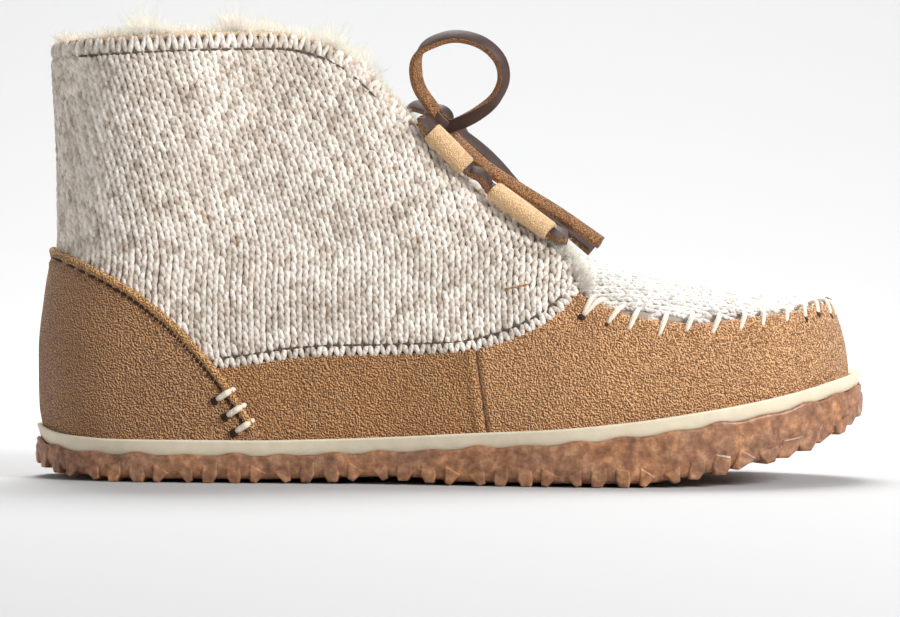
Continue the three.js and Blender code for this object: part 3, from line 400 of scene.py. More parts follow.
def plug_border(inset=0.0):
    outer = [(along_x(a), -o * BALL / 2) for a, o, _ in PLUG_PLAN]
    inner = [(along_x(a), i * BALL / 2) for a, _, i in PLUG_PLAN]
    line = spline(outer + [(along_x(PLUG_TIP[0]), PLUG_TIP[1] * BALL / 2)] + inner[::-1], 14)
    ahead = unit(np.gradient(line, axis=0))
    return line + np.stack([-ahead[:, 1], ahead[:, 0]], -1) * inset


border = plug_border()
TIP_X = along_x(PLUG_TIP[0])
outer_edge = border[border[:, 1] < PLUG_TIP[1] * BALL / 2]
inner_edge = border[border[:, 1] > PLUG_TIP[1] * BALL / 2][::-1]
side_view = LAST_POINTS[:, [0, 2]]
under_top = -left_of(top_line, side_view)
over_hem = left_of(hem_line, side_view)
in_counter = -left_of(counter_line, side_view)
ahead_of_seam = left_of(seam_line, side_view)
outside_plug = -left_of(border, LAST_POINTS[:, :2])
PLUG_FLOOR, NOT_PLUG = 35, 50.0  # the plug lies above this height, and a value for all that is not near it
outside_plug = np.where((LAST_POINTS[:, 0] < border[0, 0]) | (LAST_POINTS[:, 2] < PLUG_FLOOR), NOT_PLUG,
    outside_plug)
X = LAST_POINTS[:, 0]


# Meshes
def make(name, points, faces, material, body="root", smooth_faces=True, slot=None, stands_for=(), picks=None):
    mesh = bpy.data.meshes.new(name)
    mesh.from_pydata((np.asarray(points) * MM).tolist(), [], [list(map(int, f)) for f in faces])
    mesh.validate()
    for m in material if isinstance(material, list) else [material]:
        mesh.materials.append(m)
    if picks is not None:
        mesh.polygons.foreach_set("material_index", np.asarray(picks, dtype=np.int32))
    mesh.polygons.foreach_set("use_smooth", np.full(len(mesh.polygons), smooth_faces))
    piece = bpy.data.objects.new(name, mesh)
    bpy.context.collection.objects.link(piece)
    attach(piece, body)
    if stands_for:
        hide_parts(*stands_for)
    return piece


def clip(data, tris, field):
    """The part of a mesh where the field is above zero. data holds a row of numbers for each point."""
    inside = field > 0
    count = inside[tris].sum(1)
    kept = [tris[count == 3]]
    cut = []
    for wanted, flag in ((1, True), (2, False)):
        some = tris[count == wanted]
        odd = np.argmax(inside[some] == flag, axis=1)
        turned = np.stack([some[np.arange(len(some)), (odd + k) % 3] for k in range(3)], 1)
        cut.append(turned)
    pairs = np.concatenate([c[:, [0, k]] for c in cut for k in (1, 2)])
    ordered = np.sort(pairs, axis=1)
    edges, back = np.unique(ordered, axis=0, return_inverse=True)
    back = back.reshape(-1)
    a, b = edges[:, 0], edges[:, 1]
    t = np.clip(field[a] / (field[a] - field[b]), 0.02, 0.98)[:, None]
    fresh = data[a] + (data[b] - data[a]) * t
    base, n1, n2 = len(data), len(cut[0]), len(cut[1])
    ids = back + base
    one_ab, one_ac = ids[:n1], ids[n1:2 * n1]
    two_ab, two_ac = ids[2 * n1:2 * n1 + n2], ids[2 * n1 + n2:]
    kept.append(np.stack([cut[0][:, 0], one_ab, one_ac], 1))
    kept.append(np.stack([two_ab, cut[1][:, 1], cut[1][:, 2]], 1))
    kept.append(np.stack([two_ab, cut[1][:, 2], two_ac], 1))
    new_tris = np.concatenate(kept)
    new_data = np.concatenate([data, fresh])
    used, where = np.unique(new_tris, return_inverse=True)
    return new_data[used], where.reshape(-1, 3)


def closed_sheet(outer, inner, tris):
    """Joins an outer and an inner layer with the same triangles into one closed form."""
    n = len(outer)
    directed = np.concatenate([tris[:, [0, 1]], tris[:, [1, 2]], tris[:, [2, 0]]])
    key = directed[:, 0].astype(np.int64) * n + directed[:, 1]
    twin = directed[:, 1].astype(np.int64) * n + directed[:, 0]
    rim = directed[~np.isin(key, twin)]
    sides = [[a, a + n, b + n, b] for a, b in rim]
    return np.vstack([outer, inner]), tris.tolist() + (tris[:, ::-1] + n).tolist() + sides


def last_sheet(name, keep, height, inside, material, fields=(), tris=LAST_TRIS, **facts):
    """A sheet over the last where keep is above zero. height works out its outer level from the fields."""
    data = np.column_stack([LAST_POINTS, LAST_NORMALS, keep, *fields])
    data, tris = clip(data, tris, keep)
    p, n = data[:, :3], unit(data[:, 3:6])
    levels = height(p, data[:, 6], *data[:, 7:].T)
    points, faces = closed_sheet(p + n * np.asarray(levels)[:, None], p + n * inside, tris)
    return make(name, points, faces, material, **facts)


def rounded(d, radius):
    """A quarter circle from 0 at an edge to 1 at radius from it."""
    return np.sqrt(np.clip(1 - (1 - np.clip(d / radius, 0, 1)) ** 2, 0, 1))


def ripple(p, scale, seed=0.0):
    """A soft uneven field, about -1 to 1, for creases and slack."""
    x, y, z = (p / scale).T
    a = np.sin(x * 1.3 + 1.7 * np.sin(z * 0.9 + seed) + y) * np.cos(z * 1.1 + 0.8 * np.sin(x * 0.7 - seed))
    return 0.6 * a + 0.4 * np.sin(x * 2.1 - z * 1.9 + y * 1.4 + seed * 3)


# Materials
def new_material(name, rough, **sockets):
    material = bpy.data.materials.new(name)
    material.use_nodes = True
    tree = material.node_tree
    shader = tree.nodes["Principled BSDF"]
    shader.inputs["Roughness"].default_value = rough
    for key, value in sockets.items():
        shader.inputs[key.replace("_", " ")].default_value = value
    place = tree.nodes.new("ShaderNodeTexCoord").outputs["Object"]
    return material, tree, shader, place


def noise(tree, place, scale, detail=2.0, rough=0.5, stretch=None):
    if stretch:
        mapping = tree.nodes.new("ShaderNodeMapping")
        mapping.inputs["Scale"].default_value = stretch
        tree.links.new(place, mapping.inputs["Vector"])
        place = mapping.outputs["Vector"]
    node = tree.nodes.new("ShaderNodeTexNoise")
    node.inputs["Scale"].default_value = scale
    node.inputs["Detail"].default_value = detail
    node.inputs["Roughness"].default_value = rough
    tree.links.new(place, node.inputs["Vector"])
    return node.outputs["Fac"]


def ramp(tree, factor, stops):
    node = tree.nodes.new("ShaderNodeValToRGB")
    node.color_ramp.elements[0].position, node.color_ramp.elements[1].position = stops[0][0], stops[-1][0]
    for at, _ in stops[1:-1]:
        node.color_ramp.elements.new(at)
    for element, (_, colour) in zip(node.color_ramp.elements, stops):
        element.color = (*colour, 1)
    tree.links.new(factor, node.inputs["Fac"])
    return node.outputs["Color"]


def sums(tree, kind, *values):
    node = tree.nodes.new("ShaderNodeMath")
    node.operation = kind
    for socket, value in zip(node.inputs, values):
        if isinstance(value, (int, float)):
            socket.default_value = value
        else:
            tree.links.new(value, socket)
    return node.outputs[0]


def blend(tree, factor, a, b, kind="MIX"):
    node = tree.nodes.new("ShaderNodeMix")
    node.data_type = "RGBA"
    node.blend_type = kind
    for socket, value in ((node.inputs["Factor"], factor), (node.inputs[6], a), (node.inputs[7], b)):
        if isinstance(value, (int, float)):
            socket.default_value = value
        elif isinstance(value, tuple):
            socket.default_value = (*value, 1)
        else:
            tree.links.new(value, socket)
    return node.outputs[2]


def bump(tree, shader, height, strength, distance, after=None):
    node = tree.nodes.new("ShaderNodeBump")
    node.inputs["Strength"].default_value = strength
    node.inputs["Distance"].default_value = distance
    tree.links.new(height, node.inputs["Height"])
    if after is not None:
        tree.links.new(after, node.inputs["Normal"])
    tree.links.new(node.outputs["Normal"], shader.inputs["Normal"])
    return node.outputs["Normal"]


def rgb(text):
    """A colour written as on a screen, as light."""
    parts = [int(text[i:i + 2], 16) / 255 for i in (0, 2, 4)]
    return tuple(p / 12.92 if p <= 0.04045 else ((p + 0.055) / 1.055) ** 2.4 for p in parts)


def suede_material(name, dark, middle, light, grain=1850):
    """Pebbled nap: each grain has a painted lit side and a painted shaded side, over slow clouds."""
    material, tree, shader, place = new_material(name, 0.95, Sheen_Weight=0.2, Sheen_Roughness=0.5)
    fine = noise(tree, place, grain, 1, 0.5)
    moved = tree.nodes.new("ShaderNodeVectorMath")
    moved.inputs[1].default_value = (0.0002, -0.0001, 0.00022)
    tree.links.new(place, moved.inputs[0])
    beyond = noise(tree, moved.outputs[0], grain, 1, 0.5)
    # Painted light and shade: the grain minus a shifted copy of itself lights one side of each grain and
    # darkens the other.
    painted_grain_light = sums(tree, "MULTIPLY_ADD", sums(tree, "SUBTRACT", fine, beyond), 1.25, 0.5)
    clouds = noise(tree, place, 60, 3, 0.6)
    tone = ramp(tree, painted_grain_light, [(0.3, rgb(dark)), (0.5, rgb(middle)), (0.72, rgb(light))])
    shade = ramp(tree, clouds, [(0.3, (0.9, 0.89, 0.88)), (0.7, (1.07, 1.06, 1.05))])
    tree.links.new(blend(tree, 1.0, tone, shade, "MULTIPLY"), shader.inputs["Base Color"])
    bump(tree, shader, fine, 1.0, 0.0009)
    return material


def knit_material(name, gap, middle, light, fleck, depth=0.8):
    """Heathered wool: each leg has its own tone, plies wind round it with painted shade in the grooves between
    them, and patches drift over the whole.
    """
    material, tree, shader, place = new_material(name, 0.93, Sheen_Weight=0.15, Sheen_Roughness=0.6)
    marks = tree.nodes.new("ShaderNodeAttribute")
    marks.attribute_name = "yarn"
    split = tree.nodes.new("ShaderNodeSeparateXYZ")
    tree.links.new(marks.outputs["Vector"], split.inputs[0])
    heather = noise(tree, place, 420, 3, 0.7)
    mixed = sums(tree, "ADD", sums(tree, "MULTIPLY", split.outputs[0], 0.34),
        sums(tree, "MULTIPLY", heather, 0.9))
    tone = ramp(tree, mixed, [(0.34, rgb(gap)), (0.5, rgb(middle)), (0.74, rgb(light))])
    clouds = noise(tree, place, 75, 3, 0.65)
    shade = ramp(tree, clouds, [(0.34, (depth, depth * 0.985, depth * 0.96)), (0.6, (1, 1, 1))])
    base = blend(tree, 1.0, tone, shade, "MULTIPLY")
    spots = ramp(tree, noise(tree, place, 230, 1, 0.4), [(0.73, (0, 0, 0)), (0.8, (0.6, 0.6, 0.6))])
    base = blend(tree, spots, base, rgb(fleck))
    winding = sums(tree, "SINE", sums(tree, "MULTIPLY", split.outputs[1], 2 * math.pi))
    plies = sums(tree, "ADD", sums(tree, "MULTIPLY", winding, 0.5), noise(tree, place, 3000, 2, 0.7))
    # Painted shade: the grooves between the plies, where the bump is low, are darkened.
    dark = ramp(tree, sums(tree, "MULTIPLY_ADD", winding, 0.5, 0.5),
        [(0.0, (0.9, 0.89, 0.88)), (0.45, (1, 1, 1))])
    tree.links.new(blend(tree, 0.8, base, dark, "MULTIPLY"), shader.inputs["Base Color"])
    bump(tree, shader, plies, 0.8, 0.00014)
    return material


def plain_material(name, colour, rough, grain=900, depth=0.12, bumped=0.2, **sockets):
    material, tree, shader, place = new_material(name, rough, **sockets)
    c = rgb(colour)
    stains = noise(tree, place, grain, 3, 0.6)
    low, high = tuple(v * (1 - depth) for v in c), tuple(min(1, v * (1 + depth)) for v in c)
    tree.links.new(ramp(tree, stains, [(0.3, low), (0.7, high)]), shader.inputs["Base Color"])
    bump(tree, shader, stains, bumped, 0.0003)
    return material


# The side panels' and counter's suede are darker copies of the vamp's, as painted shade towards the heel; the
# roll's suede is a lighter copy of the counter's, as painted light on the turned edge.
suede = suede_material("tan_suede", "6b4627", "ab784a", "eabb8b")
roll_suede_lit = suede_material("roll_suede_lit", "6f4824", "b07c45", "e8bb80", 1900)
panel_suede_shaded = suede_material("panel_suede_shaded", "5c3b21", "99693e", "d9a773")
counter_suede_shaded = suede_material("counter_suede_shaded", "4f3320", "8c613d", "d1a172")
tab_suede = suede_material("yellow_suede", "cc9c68", "e2b887", "f3d3a9", 2500)
lace_suede = suede_material("lace_flesh", "583519", "87572b", "b5834e", 2300)
lace_skin = plain_material("lace_skin", "3c261e", 0.6, 260, 0.3, 0.3, Coat_Weight=0.05, Coat_Roughness=0.5)
knit = knit_material("quarter_knit", "ab9a8a", "d2c5b7", "f2eae0", "b98d5e")
# The ground sheets' darker colours are painted shade between the stitches.
knit_gap_shade = plain_material("knit_gap_shade", "93857a", 0.98, 1200, 0.25)
plug_knit = knit_material("plug_knit", "b3aba4", "d9d4ce", "f0ede8", "c9b09a", 0.9)
plug_gap_shade = plain_material("plug_gap_shade", "a89e94", 0.98, 1200, 0.2)
cream = plain_material("cream_rubber", "dfd3ba", 0.5, 180, 0.06, 0.12)
whip_cord = plain_material("whip_cord", "e8dccb", 0.8, 2600, 0.2, 0.6)
# Painted shade: a dark brown for the insides of the stitch holes and for the crease behind the counter's roll.
hole_shade = plain_material("stitch_hole", "3a2011", 0.95)
thread = plain_material("edge_thread", "b07232", 0.7, 2500, 0.2)
grey_thread = plain_material("hem_thread", "5c4b3c", 0.85, 2500, 0.25)
skin_edge = plain_material("sheepskin_edge", "dcc09a", 0.9, 900, 0.15)
wool = plain_material("wool", "f4ecdf", 1.0, 700, 0.1, 0.6, Sheen_Weight=0.4, Subsurface_Weight=0.25)
wool_hair = plain_material("wool_hair", "f6efe4", 0.9, 500, 0.06, 0.1, Subsurface_Weight=0.3)


def gum_material():
    material, tree, shader, place = new_material(
        "gum", 0.4, Subsurface_Weight=0.35, Coat_Weight=0.15, Coat_Roughness=0.3, IOR=1.5)
    shader.inputs["Subsurface Radius"].default_value = (0.004, 0.002, 0.001)
    mottle = noise(tree, place, 320, 4, 0.65)
    base = ramp(tree, mottle, [(0.3, rgb("694630")), (0.5, rgb("966a4a")), (0.72, rgb("c29670"))])
    veins = noise(tree, place, 90, 2, 0.5)
    tint = ramp(tree, veins, [(0.35, (0.85, 0.82, 0.85)), (0.65, (1.12, 1.02, 0.9))])
    tree.links.new(blend(tree, 1.0, base, tint, "MULTIPLY"), shader.inputs["Base Color"])
    bump(tree, shader, noise(tree, place, 700, 3, 0.6), 0.35, 0.0005)
    return material


gum = gum_material()

# Whip stitches round the plug: hole on the suede, end in the knit, read off the side view in millimetres
WHIP = [  # hole x, hole z, end x
    (42.1, 53.6, 45.6), (42.1, 53.6, 48.9), (49.7, 51.2, 55.0), (56.3, 49.2, 59.8), (65.8, 47.6, 69.0),
    (74.3, 48.8, 77.2), (82.5, 48.1, 86.3), (91.4, 49.0, 94.2), (98.7, 50.2, 99.8), (106.6, 51.5, 107.4),
    (112.9, 52.7, 113.1), (117.3, 54.0, 117.2),
]


def on_border(side, x, inset):
    """Place on the last near the plug's border at x, moved in towards the plug's middle."""
    edge = outer_edge if side < 0 else inner_edge
    i = np.clip(np.searchsorted(edge[:, 0], x), 1, len(edge) - 2)
    ahead = unit(edge[i + 1] - edge[i - 1])
    inward = np.array([ahead[1], -ahead[0]]) * side
    return from_above(*(np.array([x, np.interp(x, edge[:, 0], edge[:, 1])]) + inward * inset))


def whip_spots():
    """Hole and end of each stitch, with the normals there, along both sides and round the toe."""
    spots = []
    for side in (-1, 1):
        for hole_x, hole_z, end_x in WHIP:
            hole, hole_n = from_side(side, hole_x, hole_z)
            end, end_n = on_border(side, end_x, 1.6)
            spots.append((hole, hole_n, end, end_n))
    for turn in (-50, -14, 22, 58):
        a = math.radians(turn)
        out = np.array([math.cos(a), math.sin(a), 0.0])
        top = np.array([TIP_X - 6.5, PLUG_TIP[1] * BALL / 2, 60.0])
        end, end_n = from_above(*(top + out * 5.2)[:2])
        hole, hole_n = nearest(top + out * 12 - np.array([0, 0, 6.0]))
        spots.append((hole, hole_n, end, end_n))
    return spots


WHIPS = whip_spots()

# Suede pieces over the last
suede_zone = np.maximum(-over_hem + 0.4, X - corner_x)


def counter_level(p, d):
    roll = 1.1 * np.exp(-(((d - 1.3) / 1.1) ** 2)) - 0.9 * np.exp(-(((d - 3.1) / 0.5) ** 2))
    roll = roll * smooth(13, 19, p[:, 2]) + 0.35 * np.exp(-(((d - 4.8) / 1.2) ** 2))
    return mix(1.2, COUNTER_HEIGHT, rounded(d, 0.9)) + roll + 0.2 * ripple(p, 17)


last_sheet("counter_suede", in_counter, counter_level, 0.6, counter_suede_shaded, slot="suede",
    stands_for=["heel_counter"])


def panel_level(p, d, seam):
    groove = 1.2 * np.exp(-((seam / 0.5) ** 2)) - 0.8 * np.exp(-(((seam + 2.3) / 1.6) ** 2))
    return SUEDE + GAP - groove + 0.14 * ripple(p, 15, 2.0)


for side, name in ((-1, "outer"), (1, "inner")):
    here = np.where(np.sign(LAST_POINTS[:, 1]) == side, 1.0, -1.0) * 5
    zone = np.minimum.reduce([suede_zone, -in_counter + 1.5, -ahead_of_seam + 0.02, here])
    last_sheet(f"panel_suede_shaded_{name}", zone, panel_level, 0.1, panel_suede_shaded, [ahead_of_seam], slot="suede",
               stands_for=[f"side_panel_{name}"])


def vamp_level(p, d, seam, plug):
    groove = 1.0 * np.exp(-((seam / 0.5) ** 2)) - 0.25 * np.exp(-(((seam - 1.6) / 0.9) ** 2))
    edge = rounded(plug, 0.9)
    rim = 0.8 * np.exp(-(((plug - 1.3) / 1.7) ** 2))
    pull, dimple = np.zeros(len(p)), np.zeros(len(p))
    for hole, _, end, _ in WHIPS:
        t = np.clip((p - hole) @ (end - hole) / ((end - hole) @ (end - hole)), 0, 1)
        line = np.linalg.norm(p - (hole + t[:, None] * (end - hole)), axis=1)
        pull = np.maximum(pull, np.exp(-((line / 1.3) ** 2)) * smooth(0.1, 0.7, t))
        dimple = np.maximum(dimple, np.exp(-((np.linalg.norm(p - hole, axis=1) / 1.7) ** 2)))
    puff = 0.3 * np.exp(-(((plug - 4.2) / 2.2) ** 2)) * (1 - pull)
    return mix(0.2, SUEDE + GAP, edge) + (rim * (1 - 0.85 * pull)
        + puff) * edge - groove - 0.55 * dimple + 0.16 * ripple(p, 16, 1.0)


vamp_zone = np.minimum.reduce([suede_zone, ahead_of_seam + 0.02, outside_plug])
last_sheet("vamp_suede", vamp_zone, vamp_level, 0.1, suede, [ahead_of_seam, outside_plug], slot="suede",
           stands_for=["vamp"])

# The knitted quarter: a ground sheet in a darker colour, as painted shade between the stitches, and stitches
# on it
quarter_zone = np.minimum.reduce([under_top, over_hem, 4 - in_counter])
FOLDS = [  # x, z to x, z, height, reach: the soft troughs and ridges of the ankle and throat
    (-96, 96, -70, 88, -0.7, 7), (-100, 112, -66, 104, 0.5, 8), (-60, 84, -18, 66, -0.6, 8),
    (-52, 98, -6, 78, 0.5, 9),
    (-20, 60, 22, 50, -0.45, 6), (-96, 78, -72, 70, 0.45, 7), (-40, 118, -14, 100, -0.5, 8),
]


def knit_level(p, d):
    return mix(-0.6, 0.75, rounded(d, 1.5)) + slack(p) * np.clip(d / 6, 0, 1)


LEG = [  # one leg of a stitch: shares of the steps to the next column and to the next row, height, fullness
    (0.08, -0.62, -0.55, 0.45), (0.125, -0.36, 0.0, 0.86), (0.19, -0.06, 0.28, 1.0),
    (0.265, 0.26, 0.36, 1.03),
    (0.33, 0.58, 0.26, 0.97), (0.37, 0.88, -0.02, 0.8), (0.385, 1.16, -0.6, 0.4),
]
ROUND = [math.radians(a) for a in (-100, -50, 0, 50, 100)]


def stitches(p, wale, course, out, thick):
    """Yarn legs for stitches at p. wale and course are the steps to the next column and row."""
    points, faces, yarn, start = [], [], [], 0
    n, m, k = len(p), len(LEG), len(ROUND)
    for side in (-1, 1):
        sway = 1 + 0.1 * chance.standard_normal((n, 1))
        tone = chance.random((n, 1, 1))
        fat = thick * (1 + 0.07 * chance.standard_normal((n, 1)))
        path = [p + wale * side * (a + 0.012 * chance.standard_normal((n, 1))) + course * b + out * h * sway
            for a, b, h, _ in LEG]
        path = np.stack(path, 1)
        ahead = unit(np.gradient(path, axis=1))
        across = unit(np.cross(ahead, out[:, None]))
        up = np.cross(across, ahead)
        full = fat[:, None] * np.array([r[3] for r in LEG])[None, :, None]
        rings = [path + (across * math.sin(a) + up * (math.cos(a) * 0.95)) * full for a in ROUND]
        points.append(np.stack(rings, 2).reshape(-1, 3))
        way = np.linspace(0, 1, m)[None, :, None]
        turn = np.linspace(0, 1, k)[None, None, :]
        phase = way * 4.2 + side * turn * 1.1 + tone * 5
        yarn.append(np.stack([np.broadcast_to(tone, (n, m, k)), phase, np.broadcast_to(full, (n, m, k))],
            -1).reshape(-1, 3))
        grid = (np.arange(n)[:, None, None] * m + np.arange(m - 1)[None, :, None]) * k + np.arange(k
            - 1)[None, None, :]
        grid = grid.reshape(-1) + start
        faces.append(np.stack([grid, grid + 1, grid + k + 1, grid + k], -1)[:, ::side])
        start += n * m * k
    return np.vstack(points), np.vstack(faces), np.vstack(yarn)


def knit_piece(name, parts, material, slot):
    points, faces, yarn, start = [], [], [], 0
    for p, f, y in parts:
        points.append(p)
        faces.append(f + start)
        yarn.append(y)
        start += len(p)
    piece = make(name, np.vstack(points), np.vstack(faces), material, slot=slot)
    marks = piece.data.attributes.new("yarn", "FLOAT_VECTOR", "POINT")
    marks.data.foreach_set("vector", np.vstack(yarn).astype(np.float32).reshape(-1))
    return piece


# Level lines of the quarter, from the heel's back round to the throat, on an even grid of way and height
LOWEST, HIGHEST, LONGEST, LEVEL_STEP = 26.0, 150.0, 236.0, 2.0
fine_u = np.linspace(0, 0.74, 620)


def level_lines(side):
    heights, ways = np.arange(LOWEST, HIGHEST, LEVEL_STEP), np.arange(0, LONGEST, 1.0)
    u = fine_u if side < 0 else 2 - fine_u
    u = np.broadcast_to(u, (len(heights), len(u)))
    z = np.broadcast_to(heights[:, None], u.shape)
    low, high = np.zeros(u.shape), np.ones(u.shape)
    for _ in range(20):
        middle = (low + high) / 2
        under = surface(u, middle)[..., 2] < z
        low, high = np.where(under, middle, low), np.where(under, high, middle)
    p, n = surface(u, low), normals(u, low)
    table = np.full((len(heights), len(ways), 6), np.nan)
    for i in range(len(heights)):
        good = np.abs(p[i, :, 2] - heights[i]) < 0.3
        q, m = p[i][good], n[i][good]
        far = way_along(q)
        inside = ways <= far[-1]
        for k in range(3):
            table[i, inside, k] = np.interp(ways[inside], far, q[:, k])
            table[i, inside, 3 + k] = np.interp(ways[inside], far, m[:, k])
    return table


def look_up(table, way, height):
    return bilinear(table, (height - LOWEST) / LEVEL_STEP, way)


def slack(p):
    """Height of the knit's soft slack: the ankle's folds, placed in the side view."""
    total = 0.25 * ripple(p, 19, 0.7)
    for x0, z0, x1, z1, depth, reach in FOLDS:
        a, b = np.array([x0, z0]), np.array([x1, z1])
        t = np.clip((p[:, [0, 2]] - a) @ (b - a) / ((b - a) @ (b - a)), 0, 1)
        far = np.linalg.norm(p[:, [0, 2]] - (a + t[:, None] * (b - a)), axis=1)
        total = total + depth * np.exp(-((far / reach) ** 2)) * (0.35 + 0.65
            * np.sin(np.pi * np.clip(t, 0.05, 0.95)))
    return total


last_sheet("quarter_ground", quarter_zone, knit_level, -0.8, knit_gap_shade, tris=COARSE_TRIS, slot="knit",
    stands_for=["upper"])


def edge_curve(line, side):
    """A side view line laid on the last: points and normals."""
    return split([from_side(side, x, z) for x, z in line])


def pick_along(values, far, at):
    return np.stack([np.interp(at, far, values[:, k]) for k in range(3)], -1)


def even(p, n, step, start=0.0):
    far = way_along(p)
    at = np.arange(start, far[-1], step)
    q, m = pick_along(p, far, at), unit(pick_along(n, far, at))
    return q, m, unit(np.gradient(q, axis=0)) * step


def rim_row(p, n, step, inwards, depth, tall, level, thick):
    """One row of big stitches along an edge. inwards is 1 where the piece lies below the line."""
    q, m, ahead = even(p, n, step, step / 2)
    down = unit(np.cross(m, ahead))
    down = down * np.sign(-down[:, 2:3] * inwards + 1e-9)
    c, m = split([nearest(a + b * depth) for a, b in zip(q, down)])
    course = -down * tall if inwards > 0 else down * tall
    return stitches(c + m * level, ahead, course, m, thick)


TOP_RIM, HEM_RIM = 4.3, 3.3


def rim_curve(side, share_end):
    """The collar's rim on one side, from the heel's back to the front edge's foot."""
    u = np.linspace(0, share_end, 420)
    uu = u if side < 0 else 2 - u
    low, high = np.full(len(u), 0.2), np.ones(len(u))
    for _ in range(24):
        middle = (low + high) / 2
        p = surface(uu, middle)
        under = p[:, 2] < np.interp(p[:, 0], top_line[:, 0], top_line[:, 1])
        low, high = np.where(under, middle, low), np.where(under, high, middle)
    return surface(uu, low), normals(uu, low)


for side, name in ((-1, "outer"), (1, "inner")):
    table = level_lines(side)
    i, j = np.meshgrid(np.arange(-10, 75), np.arange(-45, 60), indexing="ij")
    i, j = i.reshape(-1) + 0.5, j.reshape(-1) + 0.5
    way = i * NEXT_COLUMN[0] + j * NEXT_ROW[0] + 1.3
    height = i * NEXT_COLUMN[1] + j * NEXT_ROW[1] + 34
    way = way + 0.5 * np.sin(height / 13 + way / 31) + 0.1 * chance.standard_normal(len(way))
    height = height + 0.45 * np.sin(way / 17 + height / 29 + 1) + 0.08 * chance.standard_normal(len(way))
    good = (way > -1.6) & (way < LONGEST - 4) & (height > LOWEST + 3) & (height < HIGHEST - 4)
    way, height = way[good], height[good]
    here = look_up(table, way, height)

    def step(size):
        a = look_up(table, np.maximum(0, way + size[0] / 2), height + size[1] / 2)[:, :3]
        b = look_up(table, np.maximum(0, way - size[0] / 2), height - size[1] / 2)[:, :3]
        v = a - b
        return unit(v) * math.hypot(*size)

    wale, course = step(NEXT_COLUMN), step(NEXT_ROW)
    good = np.isfinite(here[:, 0]) & np.isfinite(wale[:, 0]) & np.isfinite(course[:, 0])
    p, n, wale, course = here[good, :3], unit(here[good, 3:]), wale[good], course[good]
    flat = p[:, [0, 2]]
    inside = (-left_of(top_line, flat) > np.where(flat[:, 0] > -38, 0.9, TOP_RIM - 1)) & (left_of(hem_line,
        flat) > HEM_RIM - 1)
    inside &= left_of(counter_line, flat) > -2.5
    p, n, wale, course = p[inside], n[inside], wale[inside], course[inside]
    field, faces, yarn = stitches(p + n * (0.85 + slack(p))[:, None], wale, course, n, 0.87)
    flat = field[:, [0, 2]]
    clear = np.minimum(-left_of(top_line, flat) - TOP_RIM, left_of(hem_line, flat) - HEM_RIM)
    front = smooth(-44, -30, flat[:, 0])
    clear = np.where(left_of(hem_line, flat) - HEM_RIM < clear + 1e-6, clear, clear + front * (TOP_RIM - 0.3))
    sunk = 1.7 * (1 - smooth(-0.7, 0.15, clear)) * (1 - front * (left_of(hem_line, flat) > HEM_RIM + 1))
    field -= np.repeat(np.tile(n, (2, 1)), len(LEG) * len(ROUND), axis=0) * sunk[:, None]
    parts = [(field, faces, yarn)]
    rim_p, rim_n = rim_curve(side, 0.42)
    parts.append(rim_row(rim_p, rim_n, 3.9, 1, 2.5, 3.0, 0.75, 0.93))
    hem_p, hem_n = edge_curve(hem_line[8:-4], side)
    parts.append(rim_row(hem_p, hem_n, 3.7, -1, 1.1, 2.2, 0.95, 0.88))
    knit_piece(f"quarter_stitches_{name}", parts, knit, "knit")

# Plug and tongue: one knitted sheet that is laid on the last from above, in a darker colour as painted shade
# between the stitches


def plug_sides(x):
    half = tongue_width((x + HALF) / LENGTH) * BALL / 2
    reach = smooth(corner_x - 12, corner_x - 4, x)
    low = np.interp(x, outer_edge[:, 0], outer_edge[:, 1]) + GAP
    high = np.interp(x, inner_edge[:, 0], inner_edge[:, 1]) - GAP
    return mix(ridge_y(x) - half, low, reach), mix(ridge_y(x) + half, high, reach)


lengths = np.concatenate([np.linspace(-20, 95, 118, endpoint=False),
    TIP_X - 0.4 - np.linspace(math.sqrt(TIP_X - 95.4), 0, 34) ** 2])
across = np.sin(np.linspace(-np.pi / 2, np.pi / 2, 49))
PLUG_P = np.zeros((len(lengths), len(across), 3))
PLUG_N = np.zeros_like(PLUG_P)
for i, x in enumerate(lengths):
    low, high = plug_sides(np.array(x))
    for j, t in enumerate(across):
        PLUG_P[i, j], PLUG_N[i, j] = from_above(x, mix(low, high, (t + 1) / 2))
sunk = mix(PLUG_SUNK, TONGUE_DEPTH, tongue_depth((lengths + HALF) / LENGTH))[:, None, None]
PLUG_TOP = PLUG_P - PLUG_N * sunk
I, J = np.meshgrid(np.arange(len(lengths) - 1), np.arange(len(across) - 1), indexing="ij")
width = len(across)
plug_quads = np.stack([I * width + J, (I + 1) * width + J, (I + 1) * width + J + 1, I * width + J + 1],
    -1).reshape(-1, 4)
plug_tris = halves(plug_quads)
flat_n = PLUG_N.reshape(-1, 3)
points, faces = closed_sheet(PLUG_TOP.reshape(-1, 3) - flat_n * 0.5,
    PLUG_TOP.reshape(-1, 3) - flat_n * PLUG_THICK, plug_tris)
make("plug_gap_shade", points, faces, plug_gap_shade, slot="plug_knit", stands_for=["plug_tongue"])

ridge = PLUG_TOP[:, width // 2]
far = way_along(ridge)


